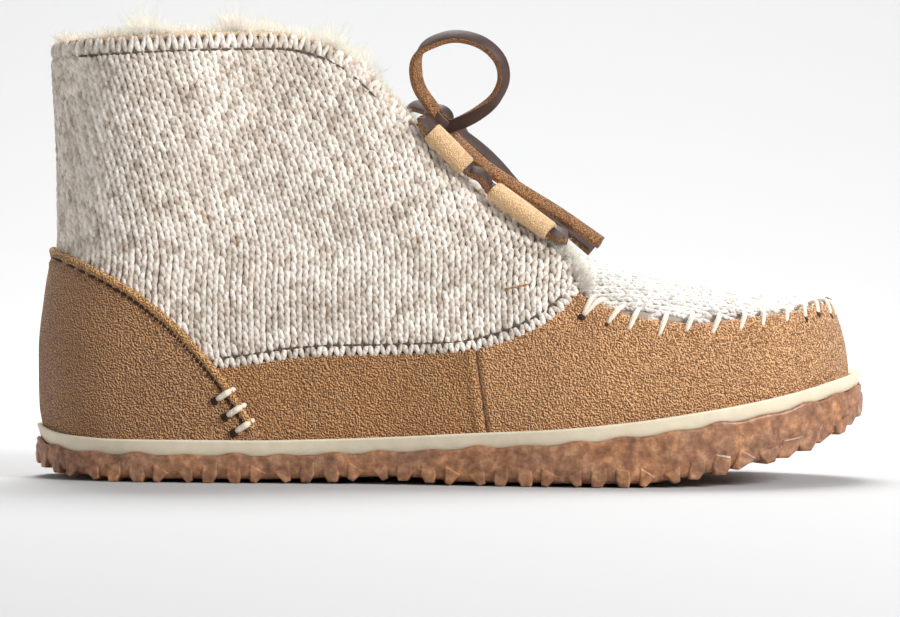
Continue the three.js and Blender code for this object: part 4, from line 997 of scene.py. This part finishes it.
# Rows cross the plug from side to side, and columns run along it
PLUG_WALE, PLUG_COURSE = 3.3, 2.8
places, outs, wales, courses = [], [], [], []
for at in np.arange(0.8, far[-1] - 0.4, PLUG_COURSE):
    i = np.interp(at, far, np.arange(len(far)))
    line = bilinear(PLUG_TOP, np.full(width, i), np.arange(width, dtype=float))
    s = way_along(line)
    spots = s[width // 2] + (np.arange(-20, 21) + 0.5) * PLUG_WALE + 0.15 * chance.standard_normal(41)
    spots = spots[(spots > 0.4) & (spots < s[-1] - 0.4)]
    if not len(spots):
        continue
    j = np.interp(spots, s, np.arange(width))
    row = np.full(len(j), i)
    p, n = bilinear(PLUG_TOP, row, j), unit(bilinear(PLUG_N, row, j))
    w = unit(bilinear(PLUG_TOP, row, np.minimum(j + 0.4, width - 1)) - bilinear(PLUG_TOP, row, j - 0.4))
    places.append(p + n * 0.04 * chance.standard_normal((len(p), 1)))
    outs.append(n)
    wales.append(w * PLUG_WALE)
    courses.append(unit(np.cross(w, n)) * PLUG_COURSE * np.sign(np.cross(w, n)[:, :1]))
p, n = np.vstack(places), np.vstack(outs)
plug_yarn = stitches(p + n * (-0.55 + 0.3 * ripple(p, 14, 1.5))[:, None], np.vstack(wales),
    np.vstack(courses), n, 0.64)
knit_piece("plug_stitches", [plug_yarn], plug_knit, "plug_knit")


# Sweeps: a section carried along a path, closed at both ends
def sweep(path, out, section, scale=None):
    """section is a ring of (across, out) sizes. Returns points, faces and the section's place of each face."""
    path, out = np.asarray(path, float), np.asarray(out, float)
    ahead = unit(np.gradient(path, axis=0))
    out = unit(out - ahead * np.sum(out * ahead, -1, keepdims=True))
    side = np.cross(ahead, out)
    size = np.ones(len(path)) if scale is None else np.asarray(scale)
    section = np.asarray(section, float)
    rings = path[:, None] + (side[:, None] * section[None, :, :1] + out[:, None]
        * section[None, :, 1:]) * size[:, None, None]
    m, k = len(path), len(section)
    faces = tube_faces(k, m - 1) + [list(range(k))[::-1], [(m - 1) * k + j for j in range(k)]]
    picks = list(range(k)) * (m - 1) + [-1, -1]
    return rings.reshape(-1, 3), faces, picks


def ring_section(radius, count=8, flat=1.0):
    turn = np.arange(count) / count * 2 * np.pi
    return np.stack([radius * np.cos(turn), radius * flat * np.sin(turn)], -1)


class Pile:
    """Many small forms joined into one mesh."""

    def __init__(self):
        self.points, self.faces, self.count = [], [], 0

    def add(self, points, faces):
        self.points.append(np.asarray(points))
        self.faces += [[v + self.count for v in f] for f in faces]
        self.count += len(points)

    def make(self, name, material, **facts):
        return make(name, np.vstack(self.points), self.faces, material, **facts)


def dash(pile, a, b, out, width, thick):
    """One short stitch from a to b, a capsule with round ends."""
    t = np.array([0, 0.12, 0.5, 0.88, 1.0])
    path = a + (b - a) * t[:, None] + out * (thick * 0.5 * np.sin(np.pi * t))[:, None]
    points, faces, _ = sweep(path, np.tile(out, (5, 1)), ring_section(width / 2, 6, thick / width),
        [0.3, 0.9, 1, 0.9, 0.3])
    pile.add(points, faces)


def stitch_row(pile, line, side, level, length, gap, width, thick=0.5, start=0.0, end=None):
    """Dashes along a side view line, laid on the last at a level above it."""
    s = way_along(line)
    for far in np.arange(start, (end or s[-1]) - length, length + gap):
        ends = []
        for at in (far, far + length):
            x, z = np.interp(at, s, line[:, 0]), np.interp(at, s, line[:, 1])
            ends.append(from_side(side, x, z))
        if np.linalg.norm(ends[0][0] - ends[1][0]) > 2.5 * length:
            continue
        (a, n), (b, m) = ends
        dash(pile, a + n * level, b + m * level, unit(n + m), width, thick)


def beside(line, distance):
    ahead = unit(np.gradient(line, axis=0))
    return line + np.stack([-ahead[:, 1], ahead[:, 0]], -1) * distance


hem_rows = Pile()
for side in (-1, 1):
    stitch_row(hem_rows, beside(top_line, -TOP_RIM + 0.2)[top_line[:, 0] < -20], side, KNIT - 0.35, 2.9, 0.5,
        0.75, start=24)
    stitch_row(hem_rows, beside(hem_line, HEM_RIM)[:-14], side, KNIT - 0.35, 2.7, 0.5, 0.7, start=30)
hem_rows.make("hem_stitch_lines", grey_thread, slot="knit")

cords, holes = Pile(), Pile()


def whip(hole, hole_n, end, end_n, hole_level, end_level, radius=0.85):
    ways = [0, 0.1, 0.35, 0.62, 0.85, 1]
    lifts = [hole_level - 0.8, hole_level + 0.35, 0, 0, end_level + 0.45, end_level - 0.8]
    rows = []
    for t, lift in zip(ways, lifts):
        flat = mix(hole, end, t)
        if 0.2 < t < 0.8:
            spot, out = nearest(flat + unit(hole_n + end_n) * 1.5)
            rows.append(spot + out * (max(hole_level, end_level) + (0.75 if t < 0.5 else 0.9)))
        else:
            rows.append(flat + mix(hole_n, end_n, t) * lift)
    path = spline(rows, 4)
    t = np.linspace(0, 1, len(path))[:, None]
    fat = 0.72 + 0.28 * np.sin(np.pi * t[:, 0])
    points, faces, _ = sweep(path, mix(hole_n, end_n, t), ring_section(radius, 8, 0.8), fat)
    cords.add(points, faces)
    # A dark disc at the hole: painted shade inside it.
    across = unit(np.cross(hole_n, (0.3, 0.2, 0.9)))
    back = unit(end - hole) * 0.95
    rim = [hole + hole_n * (hole_level - 0.3) - back, hole + hole_n * (hole_level + 0.12) - back]
    points, faces, _ = sweep(np.array(rim), np.tile(across, (2, 1)), ring_section(radius * 1.3, 10))
    holes.add(points, faces)


# The counter's front edge is turned over into a roll in a lighter suede as painted light, with a dark sweep in
# the crease behind it as painted shade
rolls, creases = Pile(), Pile()
roll_line, crease_line = beside(counter_line, -1.0), beside(counter_line, -2.7)
for side in (-1, 1):
    for pile, line, rise, size in ((rolls, roll_line, COUNTER_HEIGHT + 0.15, 1.25),
            (creases, crease_line, COUNTER_HEIGHT + 0.02, 0.5)):
        spots = [from_side(side, x, z) for x, z in line[2:-1]]
        spots = [spot for spot, (x, z) in zip(spots, line[2:-1]) if z > 16.5 and abs(spot[0][0] - x) < 0.5]
        path, out = split([(p + n * rise, n) for p, n in spots])
        wobble = 1 + 0.08 * np.sin(np.arange(len(path)) * 1.3) + 0.05 * np.sin(np.arange(len(path)) * 3.1)
        pile.add(*sweep(path, out, ring_section(size, 8, 0.75), wobble)[:2])
rolls.make("counter_roll", roll_suede_lit, slot="suede")
creases.make("counter_crease_shadow", hole_shade, slot="suede")

# Three across the counter's front edge, near the sole
for x, z, dx, dz in ((-73.8, 26.4, 5.5, 3.6), (-70.4, 21.4, 5.5, 3.6), (-67.6, 16.4, 5.3, 3.6)):
    for side in (-1, 1):
        hole, hole_n = from_side(side, x, z)
        end, end_n = from_side(side, x + dx, z + dz)
        whip(hole, hole_n, end, end_n, COUNTER_HEIGHT + 0.5, 1.4, 1.05)
for hole, hole_n, end, end_n in WHIPS:
    whip(hole, hole_n, end, end_n, 1.25, 0.35)
cords.make("whip_stitches", whip_cord, slot="plug_knit")
holes.make("stitch_holes", hole_shade, slot="suede")

# A short tack in the quarter's front corner
tack = Pile()
for side in (-1, 1):
    for k in range(4):
        a, n = from_side(side, 17.5 + k * 1.9, 61.4 + 0.35 * k)
        b, m = from_side(side, 19.3 + k * 1.9, 61.7 + 0.35 * k)
        dash(tack, a + n * (KNIT + 0.45), b + m * (KNIT + 0.45), n, 0.6, 0.5)
tack.make("corner_tack", thread, slot="knit")

# Lining: the skin's edge above the knit, the inside, and the wool
def flat_level(rise):
    return lambda p, d: np.full(len(p), rise)


lining_zone = np.minimum(np.maximum(under_top + 1.2, X - corner_x),
    np.where(outside_plug < NOT_PLUG - 1, outside_plug, NOT_PLUG))
last_sheet("skin_edge", np.minimum(lining_zone, 9 - np.maximum(under_top, 0)), flat_level(-0.5), -1.6,
           skin_edge, tris=COARSE_TRIS, slot="fleece")
inner_zone = np.minimum(np.maximum(under_top + 0.4, X - corner_x),
    np.where(outside_plug < NOT_PLUG - 1, outside_plug - 1, NOT_PLUG))
last_sheet("lining", inner_zone, flat_level(-1.0), -WALL, wool, tris=COARSE_TRIS, slot="fleece")
band = np.minimum.reduce([under_top + 1.0, 36 - under_top, corner_x - 14 - X])
last_sheet("collar_wool", band, flat_level(-WALL - GAP), -WALL - GAP - FLEECE + 1.2, wool, tris=COARSE_TRIS,
    slot="fleece",
           stands_for=["fleece_collar"])


def hairs(name, roots, ways, lengths, width=0.21, levels=4, curl=0.5):
    """Curly strands as thin tapering ribbons."""
    n = len(roots)
    t = np.linspace(0, 1, levels)[None, :, None]
    ways = unit(ways)
    bend = unit(np.cross(ways, chance.standard_normal((n, 3))))
    other = np.cross(ways, bend)
    phase = chance.uniform(0, 2 * np.pi, (n, 1, 1))
    turns = chance.uniform(1.0, 2.2, (n, 1, 1)) * 2 * np.pi
    far = lengths[:, None, None]
    wave = curl * np.minimum(1, t * 2)
    path = (roots[:, None] + ways[:, None] * far * t + bend[:, None] * far * 0.28 * t**2
            + (bend[:, None] * np.cos(phase + turns * t) + other[:, None] * np.sin(phase + turns * t)) * wave)
    spread = other[:, None] * width / 2 * np.sqrt(1.02 - t)
    points = np.stack([path - spread, path + spread], 2).reshape(-1, 3)
    base = (np.arange(n)[:, None] * levels + np.arange(levels - 1)[None]).reshape(-1) * 2
    faces = np.stack([base, base + 1, base + 3, base + 2], -1)
    return make(name, points, faces, wool_hair, slot="fleece")


def rim_points(count, side, share_end):
    """Chance places along the collar's rim on one side."""
    p, n = rim_curve(side, share_end)
    far = way_along(p)
    at = np.sort(chance.uniform(0, far[-1], count))
    return pick_along(p, far, at), unit(pick_along(n, far, at))


HAIR, INNER_HAIR = 11000, 5200  # on each side
for side, name in ((-1, "outer"), (1, "inner")):
    p, n = rim_points(HAIR, side, 0.625)
    x = p[:, 0]
    tuft = np.maximum(0, np.sin(x * 0.42 + 1.3 * side) * 0.5 + np.sin(x * 0.19 + 2.0) * 0.5)
    long = np.interp(x, [-134, -110, -92, -75, -55, -35, -15, 0, 42], [6, 10, 13, 8.5, 13.5, 12, 8, 5.2, 4.6])
    length = long * (0.45 + 0.55 * tuft) * chance.uniform(0.55, 1.15, HAIR)
    forward = smooth(-45, -15, x)[:, None]
    depth = chance.uniform(1.2, 6.0, HAIR)[:, None] * (1 - 0.45 * forward)
    drop = chance.uniform(0, 1.5, HAIR)[:, None]
    roots = p - n * depth - np.array([0, 0, 1]) * drop
    up = np.array([0, 0, 1.0]) * (1 - 0.35 * forward) + np.array([1.0, 0, 0]) * 0.45 * forward
    ways = up + 0.38 * chance.standard_normal((HAIR, 3)) + n * 0.12
    hairs(f"rim_wool_{name}", roots, ways, length)
    # Wool on the inside of the collar
    p, n = rim_points(INNER_HAIR, side, 0.5)
    drops = chance.uniform(0, 40, INNER_HAIR)
    p, n = split([nearest(q - np.array([0, 0, d])) for q, d in zip(p, drops)])
    keep = -left_of(top_line, p[:, [0, 2]]) > 0
    p, n = p[keep], n[keep]
    ways = -n * 0.7 + np.array([0, 0, 0.5]) + 0.6 * chance.standard_normal((len(p), 3))
    hairs(f"inside_wool_{name}", p - n * (WALL + GAP + 2.6), ways, chance.uniform(3, 6.5, len(p)), 0.3, 4,
        0.8)

# Wool that shows between the quarter's front corner and the plug
low_edge = top_line[top_line[:, 0] > 20]
for side, name in ((-1, "outer"), (1, "inner")):
    count = 2600
    pick = chance.uniform(0, len(low_edge) - 1, count)
    x = np.interp(pick, np.arange(len(low_edge)), low_edge[:, 0])
    z = np.interp(pick, np.arange(len(low_edge)), low_edge[:, 1])
    spots = [from_side(side, a + e, b - 1.0 + 0.8 * e) for a, b,
        e in zip(x, z, chance.uniform(-1.0, 1.4, count))]
    p, n = split(spots)
    ways = np.array([0.8, 0, 0.25]) + n * 0.45 + 0.33 * chance.standard_normal((count, 3))
    hairs(f"corner_wool_{name}", p + n * 0.4, ways, chance.uniform(2.4, 5.2, count))

# The tongue's top end is all wool
count = 5200
row_at, column_at = chance.integers(0, 16, count), chance.integers(2, width - 2, count)
roots, outs = PLUG_TOP[row_at, column_at], PLUG_N[row_at, column_at]
roots = roots - outs * np.where(row_at < 4, chance.uniform(0, 2, count), 2.2)[:, None]
face = np.where(row_at < 4, chance.uniform(-0.6, 0.9, count), -1.0)[:, None]
up = np.array([-0.45, 0, 0.9])
hairs("tongue_wool", roots, up + outs * face * 0.6 + 0.4 * chance.standard_normal((count, 3)),
    chance.uniform(4, 9, count))

# Insole
ring = surface(grid_u[:, None], np.array([0.0])[None])[:, 0].copy()
insole_out = outline(grid_u)[1]
ring[:, :2] -= insole_out * (WALL + GAP)
centre_x = np.clip(ring[:, 0], -HALF + 45, HALF - 50)
points, steps = [], np.linspace(0, 1, 14)
for t in steps:
    x, y = mix(ring[:, 0], centre_x, t), mix(ring[:, 1], ridge_y(centre_x), t)
    lump = 0.35 * np.sin(x * 0.9 + y * 0.4) * np.cos(y * 0.8 - x * 0.2)
    points.append(np.stack([x, y, feather_z(x) - MIDSOLE_LIP + GAP + INSOLE + lump], -1))
faces = tube_faces(COLUMNS, len(steps) - 1)
make("insole_fleece", np.vstack(points), faces, wool, slot="fleece", stands_for=["insole"])

# Sole
SOLE_COUNT = 960
sole_u = np.arange(SOLE_COUNT) / SOLE_COUNT * 2


def ring_stack(rows):
    """Closed rings, each (inset, height function, rise above it), joined one after the other."""
    x = outline(sole_u)[0][:, 0]
    points = []
    for inset, height, rise in rows:
        p, _ = outline(sole_u, np.broadcast_to(inset, sole_u.shape))
        points.append(np.stack([p[:, 0], p[:, 1], height(x) + rise], -1))
    return np.vstack(points), tube_faces(SOLE_COUNT, len(rows) - 1)


def gum_top(x):
    return feather_z(x) - MIDSOLE - GAP


mid_in = GUM_RIM + GAP
MIDSOLE_RINGS = [  # inset, height over the feather line
    (9.0, -MIDSOLE), (mid_in + 0.3, -MIDSOLE), (mid_in, 0.4 - MIDSOLE), (mid_in - 0.6, -2.6),
    (mid_in - 1.25, -0.7),
    (mid_in - 1.35, -0.2), (mid_in - 1.0, 0.1), (mid_in - 0.3, -0.05), (mid_in + 0.5, -0.9), (9.0, -1.6),
    (9.0, -MIDSOLE),
]
points, faces = ring_stack([(inset, feather_z, rise) for inset, rise in MIDSOLE_RINGS])
make("midsole_band", points, faces, cream, slot="cream_rubber", stands_for=["midsole"])

lug_phase = sole_u / 2 * LUG_GROUPS * 4
lobe = 0.5 - 0.5 * np.cos(2 * np.pi * (lug_phase / 2 + 0.25))
scallop = WAVE_HEIGHT * lobe * (0.75 + 0.25 * np.sin(lug_phase * 1.3))


def body(x):
    return ground_z(x) + LUG_HEIGHT


def side_at(share):
    """Height of the gum's side at a share of the way from the lugs' tops to its rim."""
    return lambda x: mix(body(x), gum_top(x), share)


gum_rows = [  # inset, height function, rise above it
    (30.0, gum_top, -1.0), (GUM_RIM + 0.3, gum_top, -0.6), (GUM_RIM, gum_top, 0),
    (GUM_RIM - 0.1, gum_top, 0.2 + scallop), (GUM_RIM - 0.35, gum_top, 0.42 + scallop),
    (0.35, gum_top, 0.3 + scallop),
    (-0.1 * lobe, gum_top, scallop - 0.3), (0.3 - 0.2 * lobe, gum_top, scallop - 1.2),
    (-0.45 * lobe, side_at(0.62), 0), (0.05 - 0.35 * lobe, side_at(0.3), 0), (0.15, body, 0.6),
    (0.45, body, -0.2),
    (1.1, body, -0.9), (BOTTOM_INSET + 1.2, ground_z, 1.1), (8.5, ground_z, 1.0), (9.0, body, 0),
]
points, _ = ring_stack(gum_rows)
# The sole's underside runs in to a line along the middle
UNDERSIDE_STEPS = 8
ring = points[-SOLE_COUNT:]
centre_x = np.clip(ring[:, 0], -HALF + 45, HALF - 50)
fresh = []
for t in np.linspace(0, 1, UNDERSIDE_STEPS + 1)[1:]:
    x, y = mix(ring[:, 0], centre_x, t), mix(ring[:, 1], ridge_y(centre_x), t)
    fresh.append(np.stack([x, y, body(x)], -1))
faces = tube_faces(SOLE_COUNT, len(gum_rows) - 1 + UNDERSIDE_STEPS)
make("gum_cup", np.vstack([points] + fresh), faces, gum, slot="gum", stands_for=["outsole"])

LUG_SHAPES = [
    [(0.15, 0), (0.5, 0.1), (0.5, 0.95), (-0.55, 0.5)],
    [(-0.36, 0), (0.2, 0), (0.5, 0.36), (0.5, 1), (-0.42, 0.84), (-0.5, 0.36)],
    [(-0.2, 0), (0.36, 0), (0.5, 0.36), (0.42, 0.84), (-0.5, 1), (-0.5, 0.36)],
    [(-0.5, 0.1), (-0.15, 0), (0.55, 0.5), (-0.5, 0.95)],
]
lugs = Pile()
for k in range(LUG_GROUPS * 4):
    u = (k + 0.5) / (LUG_GROUPS * 4) * 2
    (px, py), (nx, ny) = (v[0] for v in outline(np.array([u]), np.zeros(1)))
    foot = ground_z(np.array(px))
    toe = smooth(70, 100, px)
    grow = 1 + 0.5 * toe + 0.05 * math.sin(k * 2.3)
    shape = np.array(LUG_SHAPES[k % 4]) * [LUG_WIDTH * grow * 1.12,
        LUG_PEAK * (0.96 + 0.1 * toe + 0.04 * math.sin(k * 1.7))]
    if toe > 0:
        shape[:, 0] += shape[:, 1] * 0.45 * toe
    middle = shape.mean(0)
    side = np.array([-ny, nx, 0])
    outv = np.array([nx, ny, 0])
    levels = [(-LUG_DEPTH, 1.0, 0), (0, 1.0, 0), (0.3 + LUG_PROUD, 0.95, 0.12),
        (LUG_PROUD + 0.55, 0.76, 0.16)]
    rings = []
    for depth, size, lift in levels:
        flat = middle + (shape - middle) * size
        flat[:, 1] = np.maximum(flat[:, 1], 0)
        rings.append(np.array([px, py, foot]) + side * flat[:, :1] + np.array([0, 0, 1]) * flat[:, 1:] + outv
            * (depth - 0.65))
    count = len(shape)
    rings = np.vstack(rings)
    faces = tube_faces(count, 3)
    faces += [[3 * count + i for i in range(count)], list(range(count))[::-1]]
    lugs.add(rings, faces)
for start, end, count, offset in ((0.12, 0.92, 10, 0.0), (0.16, 0.88, 8, -0.36), (0.16, 0.88, 8, 0.36)):
    for k in range(count):
        x = along_x(mix(start, end, k / count))
        y = offset * BALL / 2 + ridge_y(np.array(x))
        turn = (np.pi / 4 if offset else 0) + np.arange(4) * np.pi / 2
        rings = []
        for z, r in ((0, 0.34), (0.5, 0.37), (LUG_HEIGHT + 1, 0.62)):
            rings.append(np.stack([x + 12 * r * np.cos(turn), y + 9 * r * np.sin(turn),
                np.full(4, ground_z(np.array(x)) + z)], -1))
        faces = tube_faces(4, 2) + [[3, 2, 1, 0], [8, 9, 10, 11]]
        lugs.add(np.vstack(rings), faces)
lug_piece = lugs.make("gum_lugs", gum, smooth_faces=False, slot="gum")
bevel = lug_piece.modifiers.new("soft_edges", "BEVEL")
bevel.width, bevel.segments, bevel.limit_method = 0.00018, 1, "ANGLE"


# Lace, tabs and knot
def tab_axis(side, tab):
    line = beside(top_line, -TAB_INSET)
    rise = KNIT + GAP + LACE_THICK / 2 + TAB_CLEAR + TAB_WALL + TAB_LIFT
    ends = []
    for share in tab:
        x = along_x(share)
        z = np.interp(x, line[:, 0], line[:, 1])
        ends.append(from_side(side, x, z))
    (a, n), (b, m) = ends
    a, b = a + n * rise, b + m * rise
    ahead = unit(b - a)
    out = n + m
    return a, b, ahead, unit(out - ahead * (out @ ahead))


def flat_section():
    """The lace's section: a flat band with round edges, its outer face first."""
    w, t, r = LACE_WIDTH / 2, LACE_THICK / 2, 0.45
    ring = []
    for cx, cy, start in ((w - r, t - r, 0), (-w + r, t - r, 90), (-w + r, -t + r, 180),
            (w - r, -t + r, 270)):
        for turn in (0, 45, 90):
            a = math.radians(start + turn)
            ring.append((cx + r * math.cos(a), cy + r * math.sin(a)))
    return ring


LACE_SECTION = flat_section()
DARK_FACES = {1, 2, 3}


def lace(name, path, out, extra=(), **facts):
    points, faces, picks = sweep(path, out, LACE_SECTION)
    picks = [0 if p in DARK_FACES else 1 for p in picks]
    for more_path, more_out in extra:
        p, f, k = sweep(more_path, more_out, LACE_SECTION)
        faces += [[v + len(points) for v in face] for face in f]
        points = np.vstack([points, p])
        picks += [0 if q in DARK_FACES else 1 for q in k]
    return make(name, points, faces, [lace_skin, lace_suede], picks=picks, slot="lace_leather", **facts)


axes = {(side, name): tab_axis(side, tab) for side in (-1, 1) for name, tab in TABS.items()}
low, high = (np.array(c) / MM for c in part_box("lace_knot"))
KNOT = (low + high) / 2
runs = []
for side in (-1, 1):
    (a, b, ahead, out), (c, d, ahead2, out2) = axes[side, "upper"], axes[side, "lower"]
    bow = (b + c) / 2 + out * 1.7
    rows = [a - ahead * 4.9, a, b, b + ahead * 1.6, bow, c - ahead2 * 1.6, c, d, d + ahead2 * 4.6]
    path = spline(rows, 7)
    t = np.linspace(0, 1, len(path))[:, None]
    runs.append((path, mix(out, out2, np.clip((t - 0.42) / 0.12, 0, 1))))
    link = KNOT - rows[0]
    end = rows[0] + unit(link) * (np.linalg.norm(link) - 3.5)
    runs.append((np.linspace(rows[0] + ahead * 1.0, end, 8), np.tile(out, (8, 1))))
    middle = np.array([along_x(0.634), -side * 0.5, 0.566 * COLLAR_HEIGHT])
    start = d + ahead2 * 4.4
    shoulder = mix(start, middle, 0.45) + np.array([0, 0, 1.4])
    path = spline([start, shoulder, middle], 8)
    t = np.linspace(0, 1, len(path))[:, None]
    runs.append((path, mix(out2, np.array([0.4, 0, 0.9]), t)))
lace("lace_way", *runs[0], extra=runs[1:], stands_for=["lace_run"])

LOOP_OUTER = [
    (0.8, -2.2, -0.5), (-1.7, -5.2, 4), (-5.8, -9.6, 9.9), (-7.3, -11, 15.1), (-6.8, -12, 20.5),
    (-3.3, -13, 24.5), (4.8, -14, 27.1),
    (13.4, -14, 25.3), (19.4, -13, 20.1), (20.9, -11.5, 13.5), (18.1, -9.8, 7.2), (12.8, -8, 2.6),
    (6.2, -5, -0.9), (1.6, -2.6, -2.2),
]
LOOP_INNER = [
    (-0.6, 1.6, 1.0), (-2.4, 4.6, 3.4), (-7, 11.4, 5.1), (-9.6, 16.4, 4.3), (-12.3, 23, 1.5),
    (-13.8, 31, -4.5), (-11.8, 36.5, -12.5),
    (-6.3, 38.5, -19), (1.2, 37.5, -20), (7.2, 33.5, -16), (9.4, 26.5, -9.5), (8.2, 18.5, -3.5),
    (3.4, 6.4, -0.3), (1.2, 2.2, 0.4),
]
END_OUTER = [
    (1.6, -1.4, -1.2), (5.2, -3.6, -5.6), (11.4, -6, -11.4), (17.4, -6.6, -16.2), (26.8, -6.6, -22.2),
    (39.4, -5, -29.9), (52.8, -3.5, -39.1),
]
END_INNER = [
    (1.6, 1, -0.8), (5, 2.8, -2.6), (13.2, 4.6, -8.6), (19.2, 4.4, -14.3), (27.4, 3.6, -23.4),
    (37.6, 3.2, -31.2), (50.2, 3, -41.6),
]
LOOP_TURN = [  # way along, weight of the ring's outward way, weight towards the viewer
    (0, 0.6, -0.75), (0.25, 0.7, -0.7), (0.4, 0.8, 0.45), (0.55, 0.75, 0.65), (0.75, 0.8, 0.6),
    (0.88, 0.2, 0.95),
    (1, -0.3, 0.95),
]


def free_cord(name, rows, facing, stands_for):
    path = spline(np.array(rows) + KNOT, 9)
    piece = lace(name, path, facing(path), stands_for=stands_for)


def ring_facing(centre, turns):
    def facing(path):
        t = np.linspace(0, 1, len(path))
        radial = unit(path - (KNOT + np.array(centre)))
        at, outward, forward = np.array(turns, float).T
        return radial * np.interp(t, at, outward)[:, None] + np.array([0, -1, 0]) * np.interp(t, at,
            forward)[:, None]
    return facing


free_cord("bow_loop_outer", LOOP_OUTER, ring_facing((6.2, -11, 14.5), LOOP_TURN),
    ["lace_loop_outer"])
free_cord("bow_loop_inner", LOOP_INNER, ring_facing((-2.8, 25, -8.5), [(0, 1, 0), (1, 1, 0)]),
    ["lace_loop_inner"])
free_cord("bow_end_outer", END_OUTER, lambda path: np.tile((-0.45, 0.75, -0.5), (len(path), 1)),
    ["lace_end_outer"])
free_cord("bow_end_inner", END_INNER, lambda path: np.tile((0.3, -0.65, 0.6), (len(path), 1)),
    ["lace_end_inner"])

# Knot: flat turns of the lace round a small core
turn = np.linspace(0, 2 * np.pi, 33)
wraps = []
for tilt, radius, about_y in ((0.5, 4.3, True), (2.2, 3.9, False)):
    ring = np.stack([np.cos(turn) * radius, np.sin(turn) * radius * 1.15, np.sin(turn * 2) * 0.6], -1)
    c, s = math.cos(tilt), math.sin(tilt)
    rotate = np.array([[c, 0, s], [0, 1, 0], [-s, 0, c]] if about_y else [[1, 0, 0], [0, c, -s], [0, s, c]])
    wraps.append(((ring @ rotate.T) + KNOT, unit(ring @ rotate.T)))
lace("bow_knot", *wraps[0], extra=[wraps[1],
    (KNOT + np.linspace(-2.6, 2.6, 7)[:, None] * np.array([[0.7, 0.2, -0.7]]),
                                              np.tile((0.6, -0.5, 0.6), (7, 1)))], stands_for=["lace_knot"])

# Tabs: suede folded round the lace
for (side, name), (a, b, ahead, out) in axes.items():
    w = LACE_WIDTH / 2 + TAB_CLEAR + TAB_WALL
    h = LACE_THICK / 2 + TAB_CLEAR + TAB_WALL
    ring = []
    for cx, start in ((w - h, -90), (h - w, 90)):
        for k in range(9):
            t = math.radians(start + k * 22.5)
            ring.append((cx + h * math.cos(t), h * math.sin(t)))
    across_v = np.cross(out, ahead)
    size = np.linalg.norm(b - a)
    outer = []
    for t, grow in ((0, 0.9), (0.035, 1.0), (0.5, 1.03), (0.965, 1.0), (1, 0.9)):
        centre = a + ahead * size * t
        outer.append([centre + across_v * x * grow + out * y * grow for x, y in ring])
    count = len(ring)
    points = np.array(outer).reshape(-1, 3)
    inner = np.array([a + ahead * size * t + across_v * x + out * y for t in (0, 1) for x, y in
                      [(rx * (w - TAB_WALL) / w, ry * (h - TAB_WALL) / h) for rx, ry in ring]])
    base = len(points)
    faces = tube_faces(count, 4)
    faces += [[base + i, base + count + i, base + count + (i + 1) % count, base + (i + 1) % count]
        for i in range(count)]
    faces += [[i, base + i, base + (i + 1) % count, (i + 1) % count] for i in range(count)]
    faces += [[4 * count + i, 4 * count + (i + 1) % count, base + count + (i + 1) % count, base + count + i]
        for i in range(count)]
    side_name = "outer" if side < 0 else "inner"
    make(f"tab_{name}_{side_name}", np.vstack([points, inner]), faces, tab_suede, slot="suede",
         stands_for=[f"lace_tab_{name}_{side_name}"])

# Stage: a pale sweep, a key from the front right, a soft top light, a weak fill and a light on the wall
curve = [(-4.0, 0)] + [(y, 0) for y in np.linspace(-3, 1.6, 12)]
curve += [(1.6 + 0.9 * math.sin(t), 0.9 - 0.9 * math.cos(t))
    for t in np.linspace(0.1, math.pi / 2, 14)] + [(2.5, 4.0)]
points = [(x, y, z) for y, z in curve for x in (-4, 4)]
mesh = bpy.data.meshes.new("sweep")
mesh.from_pydata(points, [], [(2 * i, 2 * i + 1, 2 * i + 3, 2 * i + 2) for i in range(len(curve) - 1)])
mesh.polygons.foreach_set("use_smooth", [True] * len(mesh.polygons))
floor = bpy.data.objects.new("sweep", mesh)
bpy.context.collection.objects.link(floor)
pale, tree, shader, place = new_material("pale_floor", 0.85, Specular_IOR_Level=0.2)
way = tree.nodes.new("ShaderNodeSeparateXYZ")
tree.links.new(place, way.inputs[0])
# Painted light: the floor's colour is darker near the boot and lighter towards the wall, to even out how the
# lamps' light falls off.
tree.links.new(ramp(tree, sums(tree, "MULTIPLY", way.outputs[1], 0.4), [
    (0.0, (0.5, 0.5, 0.502)), (0.3, (0.62, 0.62, 0.622)), (0.62, (0.8, 0.8, 0.802))]),
    shader.inputs["Base Color"])
mesh.materials.append(pale)


def area_light(name, place, target, size, power):
    light = bpy.data.lights.new(name, "AREA")
    light.energy, light.shape, light.size = power, "DISK", size
    lamp = bpy.data.objects.new(name, light)
    bpy.context.collection.objects.link(lamp)
    lamp.location = place
    lamp.rotation_euler = (Vector(target) - Vector(place)).to_track_quat("-Z", "Y").to_euler()


area_light("key", (1.15, -0.8, 0.75), (0.06, 0, 0.04), 0.5, 25)
area_light("top", (-0.05, 0.7, 1.25), (0, 0, 0.05), 0.8, 22)
area_light("fill", (-0.9, -1.6, 0.8), (0, 0, 0.06), 1.4, 6)
area_light("back_wall", (0, 0.9, 1.9), (0, 2.2, 0.6), 1.6, 25)
world = bpy.data.worlds.new("studio")
bpy.context.scene.world = world
world.use_nodes = True
world.node_tree.nodes["Background"].inputs["Color"].default_value = (1, 1, 1, 1)
world.node_tree.nodes["Background"].inputs["Strength"].default_value = 0.3
bpy.context.scene.view_settings.view_transform = "Standard"

bpy.context.view_layer.update()
